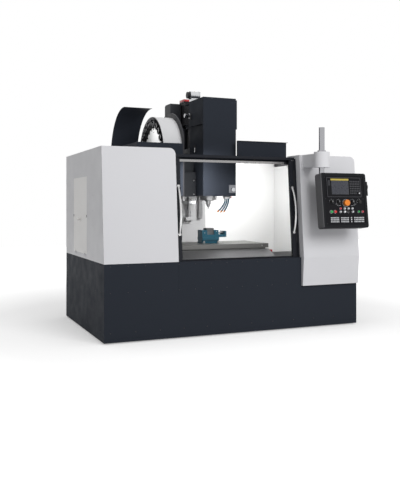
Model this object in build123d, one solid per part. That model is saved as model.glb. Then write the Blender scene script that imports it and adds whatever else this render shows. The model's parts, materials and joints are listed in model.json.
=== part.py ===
from build123d import *
import os
from math import cos, radians, sin

# A three-axis vertical machining center with an arm-type tool changer and a full enclosure.
# Millimetres. While it is modelled, X = 0 is the machine's middle, Y = 0 the front of the black
# belt, Z = 0 the floor; +X is to the right, +Y to the back. At the end everything is moved so that
# the origin lies under the middle of the machine's outer box.

# Fits
RUN_GAP = 0.3  # between pieces that slide past each other
BORE_GAP = 0.05  # radial, shaft in a bearing bore

# Enclosure
ENCLOSURE_WIDTH = 2800.0
ENCLOSURE_DEPTH = 1745.0
SKIRT_TOP = 450.0
BELT_TOP = 744.0
LEFT_COVER_TOP = 1852.0
RIGHT_COVER_TOP = 1822.0
COVER_LEAN = 97.0  # how far back the left cover's front leans between the belt and its top
SHEET = 3.0
FLOOR_CLEARANCE = 12.0
LEFT_COVER_EDGE = -663.0
RIGHT_COVER_EDGE = 708.0
LEFT_RETURN = 412.0  # depth of the left cover's side return
RIGHT_RETURN = 300.0
RIGHT_COVER_PROUD = 51.0  # how far the right cover stands in front of the belt
CORNER_RADIUS = 60.0
LINER_X = 1200.0
BACK_WALL_Y = 1500.0
SILL_DEPTH = 95.0
POCKET_Y = 205.0  # inner wall behind the open doors
PAN_EDGE_Z = 590.0

# Side window and hatch in the left panel
HATCH_FRONT = 700.0
HATCH_BACK = 1325.0
HATCH_LOW = 793.0
HATCH_SEAM = 1181.0
HATCH_HIGH = 1586.0
HATCH_KNOB = 30.0
HATCH_HINGES = (770.0, 1195.0)
HATCH_PIN_X = -ENCLOSURE_WIDTH / 2 - 5.3
HATCH_PIN = 2.5
KNUCKLE_RADIUS = 5.0
KNUCKLE_LENGTH = 30.0

# Doors
DOOR_INSET = 45.0  # from the left cover's face to the doors' face
DOOR_THICK = 30.0
DOOR_LOW = 750.0
DOOR_HIGH = 1765.0
DOOR_WIDTH = 705.0
LEFT_DOOR_LEAD = -605.0
RIGHT_DOOR_LEAD = 635.0
DOOR_STILE = 60.0
WINDOW_LOW = 900.0
WINDOW_HIGH = 1660.0
WINDOW_THICK = 8.0
HANDLE_LOW = 1008.0
HANDLE_HIGH = 1480.0
HANDLE_REACH = 60.0
HANDLE_INSET = 24.0
HANDLE_RADIUS = 11.0
RAIL_LOW = 1728.0
RAIL_HIGH = 1752.0
SURROUND_INSET = 30.0
SURROUND_LEFT = -650.0
SURROUND_RIGHT = 690.0

# Bed and column
BED_HALF = 640.0
BED_FRONT = 140.0
BED_OVERHANG = 75.0  # how far the bed stands behind the enclosure
BED_REAR = ENCLOSURE_DEPTH + BED_OVERHANG
BED_FOOT = 60.0
BED_TOP = 520.0
BED_RIB = 45.0
BED_BEAM = 150.0
BED_ROWS = 6
COLUMN_HALF = 225.0
COLUMN_FRONT = 1450.0
COLUMN_TOP = 2500.0
COLUMN_TOP_DEPTH = 200.0
COLUMN_FOOT_DEPTH = 350.0
COLUMN_WALL = 45.0
COLUMN_CELL = 270.0
FOOT_RADIUS = 60.0

# Linear guides and ball screws
GUIDE_WIDTH = 45.0
GUIDE_HEIGHT = 38.0
BLOCK_WIDTH = 100.0
BLOCK_LENGTH = 130.0
BLOCK_RISE = 60.0  # from the guide's seat to the block's top
Y_GUIDE_X = 300.0
X_GUIDE_Y = 200.0  # from the spindle's plane
Z_GUIDE_X = 150.0
SCREW_RADIUS = 20.0
JOURNAL_RADIUS = 15.0
SCREW_BOSS = 40.0
MOTOR_SIZE = 120.0
MOTOR_LENGTH = 190.0

# Saddle and table
SPINDLE_Y = 830.0
SADDLE_FRONT = 500.0
SADDLE_BACK = 1150.0
SADDLE_HALF = 380.0
WING_HALF = 880.0
WING_LOW = 645.0
SADDLE_TOP = 700.0
TABLE_LENGTH = 1200.0
TABLE_WIDTH = 600.0
TABLE_TOP = 870.0
TABLE_BAND = 48.0
TABLE_INSET = 25.0
SLOT_WIDTH = 18.0
SLOT_PITCH = 110.0
SLOT_COUNT = 5
APRON_FRONT = 370.0
APRON_LOW = 737.0

# Vise and block
VISE_LENGTH = 200.0
VISE_DEPTH = 150.0
VISE_BASE = 67.0
VISE_BEAM = 28.0
VISE_HEIGHT = 145.0
VISE_REACH = 192.0  # right end of the vise's beam
FIXED_JAW = 60.0
MOVING_JAW = 50.0
VISE_SCREW = 12.0
BLOCK_SIZE = 85.0
BLOCK_DEPTH = 100.0
BLOCK_TOP = 167.0

# Head and spindle
HEAD_HALF = 175.0
HEAD_FRONT = 600.0
HEAD_REAR = COLUMN_FRONT - BLOCK_RISE
HEAD_POCKET = 340.0  # from the head's rear face to the front of its side pockets
HEAD_LOW = 1395.0
HEAD_TOP = 1930.0
HEAD_BACK_LOW = 1480.0
COVER_LEFT = -190.0
COVER_RIGHT = 195.0
COVER_FRONT = 520.0
COVER_BACK = 940.0
COVER_LOW = 1390.0
COVER_HIGH = 2450.0
COVER_STEP = 2165.0
NOSE_Z = 1340.0
QUILL_RADIUS = 80.0
NOSE_FLANGE = 95.0
FLANGE_RADIUS = 31.75  # tool holder
GROOVE_RADIUS = 26.5
TOOL_TIP = 1250.0

# Tool changer
MAG_Z = 1822.0
POT_COUNT = 24
POT_CIRCLE = 350.0
POT_RADIUS = 38.0
POT_LENGTH = 102.0
POT_NECK = 30.0  # radius of a pot's rear end
POT_MOUTH_X = -672.0
PIN_CIRCLE = 385.0
PIN_RADIUS = 4.0
DISC_THICK = 27.0
GUARD_RADIUS = 420.0
GUARD_RIGHT = -470.0
PLATE_THICK = 15.0
PLATE_RADIUS = 470.0
ARCH_RADIUS = 510.0
ARCH_LEFT = -980.0
ATC_LEFT = -963.0
ATC_FRONT = 395.0
ATC_TOP = 1930.0
ATC_LOW = 1388.0
GEARBOX_BACK = 1250.0
GEARBOX_TOP = 1790.0
PLATE_BACK = 1400.0
ARM_MOTOR_Y = 1130.0
ARM_RADIUS = 305.0
ARM_THICK = 28.0
ARM_Z = NOSE_Z - 17.0
GEARBOX_LEFT = -425.0
GEARBOX_RIGHT = -203.0

# Control pendant
POST_X = 798.0
POST_Y = -250.0
POST_RADIUS = 30.0
POST_TOP = 2085.0
BOSS_RADIUS = 80.0
BOSS_LOW = 1676.0
BOSS_HIGH = 1835.0
PANEL_LEFT = 760.0
PANEL_WIDTH = 546.0
PANEL_HEIGHT = 565.0
PANEL_THICK = 110.0
PANEL_LOW = 1061.0
PANEL_TILT = 7.0
PANEL_MARGIN = 30.0

# Electrical cabinet
CABINET_LEFT = 430.0
CABINET_RIGHT = 1330.0
CABINET_DEPTH = 395.0
CABINET_BACK = ENCLOSURE_DEPTH + CABINET_DEPTH
CABINET_LOW = 540.0
CABINET_HIGH = 1880.0
CABINET_DOOR = 25.0

HALF = ENCLOSURE_WIDTH / 2
KNOB_REACH = 30.0


# Shapes


def block(x0, x1, y0, y1, z0, z1):
    """A block between two corners."""
    return Pos((x0 + x1) / 2, (y0 + y1) / 2, (z0 + z1) / 2) * Box(x1 - x0, y1 - y0, z1 - z0)


def rod_x(y, z, radius, x0, x1):
    """A cylinder along X."""
    return Pos((x0 + x1) / 2, y, z) * Rot(0, 90, 0) * Cylinder(radius, x1 - x0)


def rod_y(x, z, radius, y0, y1):
    """A cylinder along Y."""
    return Pos(x, (y0 + y1) / 2, z) * Rot(90, 0, 0) * Cylinder(radius, y1 - y0)


def rod_z(x, y, radius, z0, z1):
    """A cylinder along Z."""
    return Pos(x, y, (z0 + z1) / 2) * Cylinder(radius, z1 - z0)


def prism_x(points, x0, x1):
    """An outline in Y and Z, carried from x0 to x1."""
    return extrude(Plane.YZ.offset(x0) * Polygon(*points, align=None), amount=x1 - x0, dir=(1, 0, 0))


def prism_y(points, y0, y1):
    """An outline in X and Z, carried from y0 to y1."""
    return extrude(Plane.XZ.offset(-y0) * Polygon(*points, align=None), amount=y1 - y0, dir=(0, 1, 0))


def prism_z(points, z0, z1):
    """An outline in X and Y, carried from z0 to z1."""
    return extrude(Pos(0, 0, z0) * Polygon(*points, align=None), amount=z1 - z0, dir=(0, 0, 1))


def rounded_front(x0, x1, z0, z1, radius, y0, y1):
    """A block whose upper right corner is rounded, seen from the front."""
    body = block(x0, x1, y0, y1, z0, z1)
    corner = block(x1 - radius, x1, y0, y1, z1 - radius, z1)
    return body - corner + rod_y(x1 - radius, z1 - radius, radius, y0, y1)


def left_face(z):
    """Y of the left cover's front at height z."""
    return COVER_LEAN * (z - BELT_TOP) / (LEFT_COVER_TOP - BELT_TOP)


def right_face(z):
    """Y of the right cover's front at height z."""
    return left_face(z) - RIGHT_COVER_PROUD


def leaning(face, start, end, x0, x1, z0, z1):
    """A slab that leans with a cover's face, between two depths behind it."""
    outline = [(face(z0) + start, z0), (face(z0) + end, z0), (face(z1) + end, z1), (face(z1) + start, z1)]
    return prism_x(outline, x0, x1)


def ring_x(y, z, outer, inner, x0, x1, start, sweep):
    """Part of a tube about an X axis. Angles run from +Y towards +Z."""
    section = Polygon((x0, inner), (x1, inner), (x1, outer), (x0, outer), align=None)
    return Pos(0, y, z) * Rot(start, 0, 0) * revolve(section, Axis.X, revolution_arc=sweep)


def guide(length):
    """A guide rail along X with its seat at z = 0."""
    half = GUIDE_WIDTH / 2
    waist = half - 6.0
    points = [(-half, 0), (half, 0), (half, 14), (waist, 19), (waist, 25), (half, 30), (half, GUIDE_HEIGHT)]
    points += [(-half, GUIDE_HEIGHT), (-half, 30), (-waist, 25), (-waist, 19), (-half, 14)]
    return prism_x(points, -length / 2, length / 2)


def guide_block():
    """A guide block for a rail along X, open at its bottom."""
    body = block(-BLOCK_LENGTH / 2, BLOCK_LENGTH / 2, -BLOCK_WIDTH / 2, BLOCK_WIDTH / 2, 10.0, BLOCK_RISE)
    half = GUIDE_WIDTH / 2 + RUN_GAP
    channel = block(-BLOCK_LENGTH, BLOCK_LENGTH, -half, half, 0, GUIDE_HEIGHT + RUN_GAP)
    return body - channel


def motor(size, length):
    """A servo motor along +Z from its flange at z = 0, with a stepped back end."""
    flange = Pos(0, 0, 8) * Box(size, size, 16)
    body = Pos(0, 0, length / 2) * Box(size * 0.9, size * 0.9, length - 32)
    cap = Pos(0, 0, length - 8) * Box(size * 0.7, size * 0.7, 16)
    plug = Pos(0, size * 0.45 + 10, length * 0.7) * Box(40, 20, 50)
    return flange + body + cap + plug


# Base


FOOT_PLACES = [(x, y) for x in (-560.0, 560.0) for y in (220.0, 980.0, 1740.0)]
Y_SCREW_Z = BED_TOP - 42.0
Y_BOSS_FRONT = 350.0
Y_BOSS_BACK = 1390.0
TROUGH_HALF = 70.0
TROUGH_LOW = Y_SCREW_Z - 68.0
X_SCREW_Z = SADDLE_TOP - 32.0
Z_SCREW_Y = COLUMN_FRONT - 32.0
Z_BOSS_LOW = 1110.0
Z_BOSS_TOP = 2200.0
Z_MOTOR_SIZE = 176.0
Z_MOTOR_TOP = 2548.0


def leveling_pads():
    """Six pads with a jack screw each, between the floor and the bed."""
    pads = []
    for x, y in FOOT_PLACES:
        pad = rod_z(x, y, FOOT_RADIUS, 0, 22)
        pad += rod_z(x, y, FOOT_RADIUS * 0.5, 22, 34)
        pad += rod_z(x, y, 15, 34, BED_FOOT)
        pads.append(pad)
    return pads


def bed():
    """The bed casting: ribbed cells open below, pockets in its sides, a screw trough and two rail seats."""
    body = block(-BED_HALF, BED_HALF, BED_FRONT, BED_REAR, BED_FOOT, BED_TOP)
    body -= block(-TROUGH_HALF, TROUGH_HALF, BED_FRONT - 1, COLUMN_FRONT - 20, TROUGH_LOW, BED_TOP + 1)
    for boss in (Y_BOSS_FRONT, Y_BOSS_BACK):
        body += block(-TROUGH_HALF, TROUGH_HALF, boss, boss + SCREW_BOSS, TROUGH_LOW, BED_TOP)
    body -= rod_y(0, Y_SCREW_Z, JOURNAL_RADIUS + BORE_GAP, BED_FRONT, Y_BOSS_BACK + SCREW_BOSS)
    row = (BED_REAR - BED_FRONT - BED_RIB) / BED_ROWS
    inner = TROUGH_HALF + BED_RIB
    wide = (BED_HALF - BED_BEAM - inner - BED_RIB) / 2
    for i in range(BED_ROWS):
        y = BED_FRONT + BED_RIB + i * row
        for side in (-1, 1):
            for start in (inner, inner + wide + BED_RIB):
                x0, x1 = sorted((side * start, side * (start + wide)))
                body -= block(x0, x1, y, y + row - BED_RIB, BED_FOOT - 1, BED_TOP - BED_RIB)
            x0, x1 = sorted((side * (BED_HALF - BED_RIB), side * (BED_HALF + 1)))
            body -= block(x0, x1, y, y + row - BED_RIB, BED_FOOT + 60, BED_TOP - 120)
    return body


def column():
    """The column: a tapered casting with ribbed cells behind, a foot, screw bosses and a motor notch."""
    back_top = COLUMN_FRONT + COLUMN_TOP_DEPTH
    back_foot = COLUMN_FRONT + COLUMN_FOOT_DEPTH
    waist = COLUMN_TOP - 600
    outline = [(COLUMN_FRONT, BED_TOP), (COLUMN_FRONT, COLUMN_TOP), (back_top - 25, COLUMN_TOP)]
    outline += [(back_top, COLUMN_TOP - 18), (back_top, waist), (back_foot, BED_TOP + 180), (back_foot, BED_TOP)]
    body = prism_x(outline, -COLUMN_HALF, COLUMN_HALF)
    body += block(-COLUMN_HALF - 100, COLUMN_HALF + 100, COLUMN_FRONT, back_foot, BED_TOP, BED_TOP + 50)
    for i in range(5):
        low = BED_TOP + 110 + i * (COLUMN_CELL + COLUMN_WALL)
        body -= block(-COLUMN_CELL / 2, COLUMN_CELL / 2, COLUMN_FRONT + 90, back_foot + 50, low, low + COLUMN_CELL)
    for low in (Z_BOSS_LOW, Z_BOSS_TOP):
        body += block(-50, 50, COLUMN_FRONT - 59, COLUMN_FRONT, low, low + SCREW_BOSS)
    body -= rod_z(0, Z_SCREW_Y, JOURNAL_RADIUS + BORE_GAP, Z_BOSS_LOW - 50, Z_BOSS_TOP + 50)
    half = Z_MOTOR_SIZE / 2 + 4
    body -= block(-half, half, Z_SCREW_Y - half, Z_SCREW_Y + half, Z_BOSS_TOP + SCREW_BOSS, COLUMN_TOP + 50)
    return body


def base_guides():
    """Two Y rails on the bed and two Z rails on the column."""
    rails = []
    y_length = COLUMN_FRONT - 12 - (BED_FRONT + 40)
    for x in (-Y_GUIDE_X, Y_GUIDE_X):
        rails.append(Pos(x, BED_FRONT + 40 + y_length / 2, BED_TOP) * Rot(0, 0, 90) * guide(y_length))
    z_low = Z_BOSS_LOW + 20
    z_high = Z_BOSS_TOP + 30
    for x in (-Z_GUIDE_X, Z_GUIDE_X):
        place = Pos(x, COLUMN_FRONT, (z_low + z_high) / 2) * Rot(0, 90, 0) * Rot(90, 0, 0)
        rails.append(place * guide(z_high - z_low))
    return rails


def axis_motors():
    """The Y motor in the bed's trough and the Z motor in front of the column's top."""
    y_place = Pos(0, Y_BOSS_FRONT, Y_SCREW_Z) * Rot(90, 0, 0)
    y_motor = y_place * motor(MOTOR_SIZE, MOTOR_LENGTH)
    base = Z_BOSS_TOP + SCREW_BOSS
    half = Z_MOTOR_SIZE / 2
    z_body = block(-half, half, Z_SCREW_Y - half, Z_SCREW_Y + half, base, base + 18)
    z_body += block(-half + 8, half - 8, Z_SCREW_Y - half + 8, Z_SCREW_Y + half - 8, base + 18, Z_MOTOR_TOP - 40)
    z_body += block(-half, half, Z_SCREW_Y - half + 30, Z_SCREW_Y + half, Z_MOTOR_TOP - 40, Z_MOTOR_TOP)
    socket = JOURNAL_RADIUS + 2
    y_motor -= rod_y(0, Y_SCREW_Z, socket, Y_BOSS_FRONT - 30, Y_BOSS_FRONT)
    z_body -= rod_z(0, Z_SCREW_Y, socket, base, base + 30)
    return [y_motor, z_body]


def ball_screw_y():
    """The Y screw in its two bosses, with its end in the motor."""
    length = Y_BOSS_BACK + SCREW_BOSS - Y_BOSS_FRONT
    shaft = rod_y(0, Y_SCREW_Z, JOURNAL_RADIUS, Y_BOSS_FRONT - 25, Y_BOSS_FRONT + length)
    thread = rod_y(0, Y_SCREW_Z, SCREW_RADIUS, Y_BOSS_FRONT + SCREW_BOSS + RUN_GAP, Y_BOSS_BACK - RUN_GAP)
    return shaft + thread


def ball_screw_z():
    """The Z screw between the column's bosses, with its end in the motor."""
    top = Z_BOSS_TOP + SCREW_BOSS
    shaft = rod_z(0, Z_SCREW_Y, JOURNAL_RADIUS, Z_BOSS_LOW, top + 25)
    thread = rod_z(0, Z_SCREW_Y, SCREW_RADIUS, Z_BOSS_LOW + SCREW_BOSS + RUN_GAP, Z_BOSS_TOP - RUN_GAP)
    return shaft + thread


def chip_pan():
    """A funnel of sheet between the inner walls and the bed, with a drain to the tank."""
    def funnel(lift):
        wide = Pos(0, (SILL_DEPTH + BACK_WALL_Y) / 2, PAN_EDGE_Z + lift)
        narrow = Pos(0, (BED_FRONT + 10 + COLUMN_FRONT - 20) / 2, BED_TOP + lift)
        top = wide * Rectangle(2 * LINER_X, BACK_WALL_Y - SILL_DEPTH)
        bottom = narrow * Rectangle(2 * (BED_HALF - 10), COLUMN_FRONT - 30 - BED_FRONT)
        return loft([bottom, top])

    pan = funnel(0) - funnel(SHEET)
    pan -= block(-BED_HALF + 40, BED_HALF - 40, BED_FRONT + 35, COLUMN_FRONT, BED_TOP - 1, BED_TOP + 4)
    notch = COLUMN_HALF + 104
    pan -= block(-notch, notch, COLUMN_FRONT - 25, BACK_WALL_Y + 1, BED_TOP - 1, PAN_EDGE_Z + 4)
    pipe = rod_z(DRAIN_X, DRAIN_Y, 30, TANK_TOP, BED_TOP + 20) - rod_z(DRAIN_X, DRAIN_Y, 26, TANK_TOP, BED_TOP + 60)
    reach = rod_z(DRAIN_X, DRAIN_Y, 30, BED_TOP, PAN_EDGE_Z) - funnel(0)
    below = block(-LINER_X, LINER_X, SILL_DEPTH, BACK_WALL_Y, BED_TOP - 5, BED_TOP + 55) & reach
    pipe = pipe + (below - rod_z(DRAIN_X, DRAIN_Y, 26, BED_TOP - 5, PAN_EDGE_Z))
    lowest = pipe.solids().sort_by(Axis.Z)[0]
    pan -= rod_z(DRAIN_X, DRAIN_Y, 26, BED_TOP, PAN_EDGE_Z)
    return pan + lowest


TANK_GAP = 40.0  # from the tank to the skirt's outer face
TANK_LEFT = -ENCLOSURE_WIDTH / 2 + TANK_GAP
TANK_RIGHT = -690.0
TANK_TOP = 400.0
TANK_LOW = 40.0
DRAIN_X = -900.0
DRAIN_Y = 700.0
PUMP_Y = 1620.0


def coolant_unit():
    """A closed coolant tank on feet, with an upright pump beside the inner wall."""
    tank = block(TANK_LEFT, TANK_RIGHT, 150, 1700, TANK_LOW, TANK_TOP)
    tank -= rod_z(DRAIN_X, DRAIN_Y, 26, TANK_TOP - 10, TANK_TOP + 1)
    tank += block(TANK_LEFT - 12, TANK_RIGHT + 12, 140, 1710, TANK_TOP - 20, TANK_TOP - 14)
    for x in (TANK_LEFT + 60, TANK_RIGHT - 60):
        for y in (220.0, 1630.0):
            tank += rod_z(x, y, 25, 0, TANK_LOW)
    pump_x = (TANK_LEFT - LINER_X) / 2 - 10
    pump = rod_z(pump_x, PUMP_Y, 65, TANK_TOP, TANK_TOP + 30) + rod_z(pump_x, PUMP_Y, 55, TANK_TOP + 30, TANK_TOP + 230)
    pump += rod_z(pump_x, PUMP_Y, 60, TANK_TOP + 230, TANK_TOP + 262)
    pump += rod_y(pump_x, TANK_TOP + 60, 18, PUMP_Y - 110, PUMP_Y)
    return [tank, pump]


# Enclosure


def lower_skirt():
    """Black panels from just over the floor to the first seam, each folded in at the top."""
    low = FLOOR_CLEARANCE
    front = block(-HALF, HALF, 0, SHEET, low, SKIRT_TOP)
    front += block(-HALF + SHEET, HALF - SHEET, SHEET, 30, SKIRT_TOP - SHEET, SKIRT_TOP)
    front += block(-HALF + SHEET, HALF - SHEET, SHEET, 25, low, low + SHEET)
    front -= block(-HALF, HALF, -1, SHEET / 2, low + 28, low + 34)
    panels = [front]
    for side in (-1, 1):
        wall = block(HALF - SHEET, HALF, SHEET, ENCLOSURE_DEPTH, low, SKIRT_TOP)
        wall += block(HALF - 30, HALF - SHEET, 30, ENCLOSURE_DEPTH, SKIRT_TOP - SHEET, SKIRT_TOP)
        rear = block(BED_HALF + 5, HALF - SHEET, ENCLOSURE_DEPTH - SHEET, ENCLOSURE_DEPTH, low, SKIRT_TOP - SHEET)
        panel = wall + rear
        if side < 0:
            panel = mirror(panel, about=Plane.YZ)
        panels.append(panel)
    return panels


def front_belt():
    """The black belt under the doors, with the sill folded back at its top."""
    right = RIGHT_COVER_EDGE
    belt = block(-HALF, right, 0, SHEET, SKIRT_TOP, BELT_TOP)
    belt += block(-HALF + SHEET, right, SHEET, SILL_DEPTH, BELT_TOP - SHEET, BELT_TOP)
    belt += block(-HALF, -HALF + SHEET, SHEET, ENCLOSURE_DEPTH - SHEET, SKIRT_TOP, BELT_TOP)
    belt += block(-HALF + SHEET, -HALF + 30, SILL_DEPTH, ENCLOSURE_DEPTH - SHEET, BELT_TOP - SHEET, BELT_TOP)
    belt -= block(LEFT_COVER_EDGE - 1.5, LEFT_COVER_EDGE + 1.5, -1, SHEET / 2, SKIRT_TOP, BELT_TOP)
    return belt


def left_cover():
    """The left front cover: a leaning front, a side return and a top, folded from one sheet."""
    def shell(grow, right, radius):
        face = [(left_face(BELT_TOP) + grow, BELT_TOP - 1), (left_face(LEFT_COVER_TOP) + grow, LEFT_COVER_TOP)]
        outline = face + [(LEFT_RETURN + grow, LEFT_COVER_TOP), (LEFT_RETURN + grow, BELT_TOP - 1)]
        body = prism_x(outline, -HALF + grow, right)
        top = LEFT_COVER_TOP - grow
        return body & rounded_front(-HALF + grow, right, BELT_TOP, top, radius, -200, LEFT_RETURN + 50)

    cover = shell(0, LEFT_COVER_EDGE, CORNER_RADIUS) - shell(SHEET, LEFT_COVER_EDGE - SHEET, CORNER_RADIUS - SHEET)
    behind = leaning(left_face, SURROUND_INSET + 5, LEFT_RETURN + 200, LEFT_COVER_EDGE - 4, LEFT_COVER_EDGE + 1,
                     BELT_TOP - 1, LEFT_COVER_TOP - CORNER_RADIUS - 20)
    changer = block(ATC_LEFT, LEFT_COVER_EDGE + 1, ATC_FRONT, LEFT_RETURN + 60, BELT_TOP, LEFT_COVER_TOP + 1)
    return cover - behind - changer


def left_side_panel():
    """The left wall with its window opening, framed inside by a folded strip."""
    wall = block(-HALF, -HALF + SHEET, LEFT_RETURN, ENCLOSURE_DEPTH - SHEET, BELT_TOP, LEFT_COVER_TOP - SHEET)
    inside = -HALF + SHEET
    frame = block(inside, inside + 10, HATCH_FRONT - 20, HATCH_BACK + 20, HATCH_LOW - 20, HATCH_HIGH + 20)
    frame -= block(inside + SHEET, inside + 11, HATCH_FRONT - 17, HATCH_BACK + 17, HATCH_LOW - 17, HATCH_HIGH + 17)
    wall -= block(-HALF - 1, inside + 1, HATCH_FRONT, HATCH_BACK, HATCH_LOW, HATCH_HIGH)
    frame -= block(inside - 1, inside + 11, HATCH_FRONT + 12, HATCH_BACK - 12, HATCH_LOW + 12, HATCH_HIGH - 12)
    frame += block(inside, inside + SHEET, HATCH_FRONT, HATCH_BACK, HATCH_SEAM - 14, HATCH_SEAM + 14)
    for y in HATCH_HINGES:
        wall += hatch_leaf(y, -1) + rod_y(HATCH_PIN_X, HATCH_LOW, HATCH_PIN, y, y + 2 * KNUCKLE_LENGTH)
    return wall + frame


def hatch_leaf(y, side):
    """One leaf of a hatch hinge with its knuckle, below the hinge line (-1) or above it (1)."""
    start, end = sorted((HATCH_LOW + side * 2, HATCH_LOW + side * 30))
    leaf = block(-HALF - 2, -HALF, y, y + KNUCKLE_LENGTH, start, end)
    return leaf + rod_y(HATCH_PIN_X, HATCH_LOW, KNUCKLE_RADIUS, y, y + KNUCKLE_LENGTH)


def side_pane():
    """The fixed upper pane of the left window, flush with the wall."""
    return block(-HALF, -HALF + SHEET, HATCH_FRONT, HATCH_BACK, HATCH_SEAM, HATCH_HIGH)


def side_hatch():
    """The lower pane, a flap that drops outwards about its lower outer edge, with its pull knob."""
    gap = RUN_GAP
    flap = block(-HALF, -HALF + SHEET - gap, HATCH_FRONT + gap, HATCH_BACK - gap, HATCH_LOW + gap, HATCH_SEAM - gap)
    middle = (HATCH_FRONT + HATCH_BACK) / 2
    knob_z = HATCH_SEAM - 37
    knob = rod_x(middle, knob_z, 8, -HALF - HATCH_KNOB + 10, -HALF)
    knob += rod_x(middle, knob_z, 17, -HALF - HATCH_KNOB, -HALF - HATCH_KNOB + 14)
    for y in HATCH_HINGES:
        start = y + KNUCKLE_LENGTH + gap
        flap += hatch_leaf(start, 1) - rod_y(HATCH_PIN_X, HATCH_LOW, HATCH_PIN + BORE_GAP, y, start + KNUCKLE_LENGTH + 1)
    return flap + knob


def right_cover():
    """The right front cover, which stands proud of the belt and reaches down to the skirt."""
    def shell(grow, left):
        low = SKIRT_TOP - (1 if grow else 0)
        outline = [(right_face(BELT_TOP) + 21 + grow, low), (right_face(BELT_TOP) + grow, BELT_TOP)]
        outline += [(right_face(RIGHT_COVER_TOP) + grow, RIGHT_COVER_TOP)]
        outline += [(RIGHT_RETURN + grow, RIGHT_COVER_TOP), (RIGHT_RETURN + grow, low)]
        body = prism_x(outline, left, HALF - grow)
        return body & rounded_front(left, HALF - grow, low, RIGHT_COVER_TOP - grow, CORNER_RADIUS - grow, -200, 400)

    cover = shell(0, RIGHT_COVER_EDGE) - shell(SHEET, RIGHT_COVER_EDGE + SHEET)
    gap = leaning(left_face, SURROUND_INSET + 5, RIGHT_RETURN + 200, RIGHT_COVER_EDGE - 1,
                  RIGHT_COVER_EDGE + SHEET + 1, BELT_TOP, RIGHT_COVER_TOP - SHEET - 20)
    cover -= gap
    cover -= block(RIGHT_COVER_EDGE - 1, RIGHT_COVER_EDGE + SHEET, SHEET, RIGHT_RETURN + 1, SKIRT_TOP - 1, BELT_TOP)
    seam = leaning(right_face, -2, SHEET / 2, RIGHT_COVER_EDGE - 1, HALF + 1, BELT_TOP - 6, BELT_TOP - 3)
    return cover - seam


def outer_panels():
    """The right side, the rear and the roof, all light sheet."""
    right = block(HALF - SHEET, HALF, RIGHT_RETURN, ENCLOSURE_DEPTH - SHEET, SKIRT_TOP, RIGHT_COVER_TOP - SHEET)
    slot = COLUMN_HALF + 105
    back0 = ENCLOSURE_DEPTH - SHEET
    rear_left = block(-HALF + SHEET, -slot, back0, ENCLOSURE_DEPTH, SKIRT_TOP, LEFT_COVER_TOP - SHEET)
    rear_left -= block(-BED_HALF - 5, -slot + 1, back0 - 1, ENCLOSURE_DEPTH + 1, SKIRT_TOP - 1, BED_TOP + 5)
    rear_right = block(slot, HALF - SHEET, back0, ENCLOSURE_DEPTH, SKIRT_TOP, RIGHT_COVER_TOP - SHEET)
    rear_right -= block(slot - 1, BED_HALF + 5, back0 - 1, ENCLOSURE_DEPTH + 1, SKIRT_TOP - 1, BED_TOP + 5)
    for z in range(12):
        vent = block(-1150, -850, back0 - 1, ENCLOSURE_DEPTH + 1, 1450 + z * 24, 1460 + z * 24)
        rear_left -= vent
    top0 = LEFT_COVER_TOP - SHEET
    roof_left = block(-HALF, ATC_LEFT, LEFT_RETURN, ENCLOSURE_DEPTH, top0, LEFT_COVER_TOP)
    roof_left += block(ATC_LEFT, -slot, ARCH_BACK + 12, ENCLOSURE_DEPTH, top0, LEFT_COVER_TOP)
    top1 = RIGHT_COVER_TOP - SHEET
    roof_right = block(GUARD_BOX_RIGHT, HALF, RIGHT_RETURN, ENCLOSURE_DEPTH, top1, RIGHT_COVER_TOP)
    roof_right += block(slot, GUARD_BOX_RIGHT, BACK_WALL_Y, ENCLOSURE_DEPTH, top1, RIGHT_COVER_TOP)
    return [right, rear_left, rear_right, roof_left, roof_right]


ARCH_BACK = SPINDLE_Y + ARCH_RADIUS - 20
GUARD_BOX_LEFT = 225.0
GUARD_BOX_RIGHT = 770.0
GUARD_BOX_FRONT = 430.0
GUARD_BOX_TOP = 1986.0
TRAY_Z = 1797.0
TRAY_FRONT = 140.0


def inner_walls():
    """The white liners of the work area: two sides, two half back walls, door pockets and the sill wall."""
    top_left = LEFT_COVER_TOP - SHEET
    top_right = RIGHT_COVER_TOP - SHEET
    low = PAN_EDGE_Z
    back = BACK_WALL_Y
    x = LINER_X
    slot = COLUMN_HALF + 15
    walls = [
        block(-x - SHEET, -x, POCKET_Y, back, low, top_left - 40) + block(-x - SHEET, -x, SILL_DEPTH, back, low, BELT_TOP - SHEET),
        block(x, x + SHEET, POCKET_Y, back, low, top_right - 40) + block(x, x + SHEET, SILL_DEPTH, back, low, BELT_TOP - SHEET),
        block(-x - SHEET, -slot, back, back + SHEET, low, top_left),
        block(slot, x + SHEET, back, back + SHEET, low, top_right),
        block(-x, LEFT_COVER_EDGE - 6, POCKET_Y, POCKET_Y + SHEET, low + 10, top_left - 40),
        block(RIGHT_COVER_EDGE + 6, x, POCKET_Y, POCKET_Y + SHEET, low + 10, top_right - 40),
        block(-x, x, SILL_DEPTH, SILL_DEPTH + SHEET, low, BELT_TOP - SHEET),
    ]
    return walls


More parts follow.
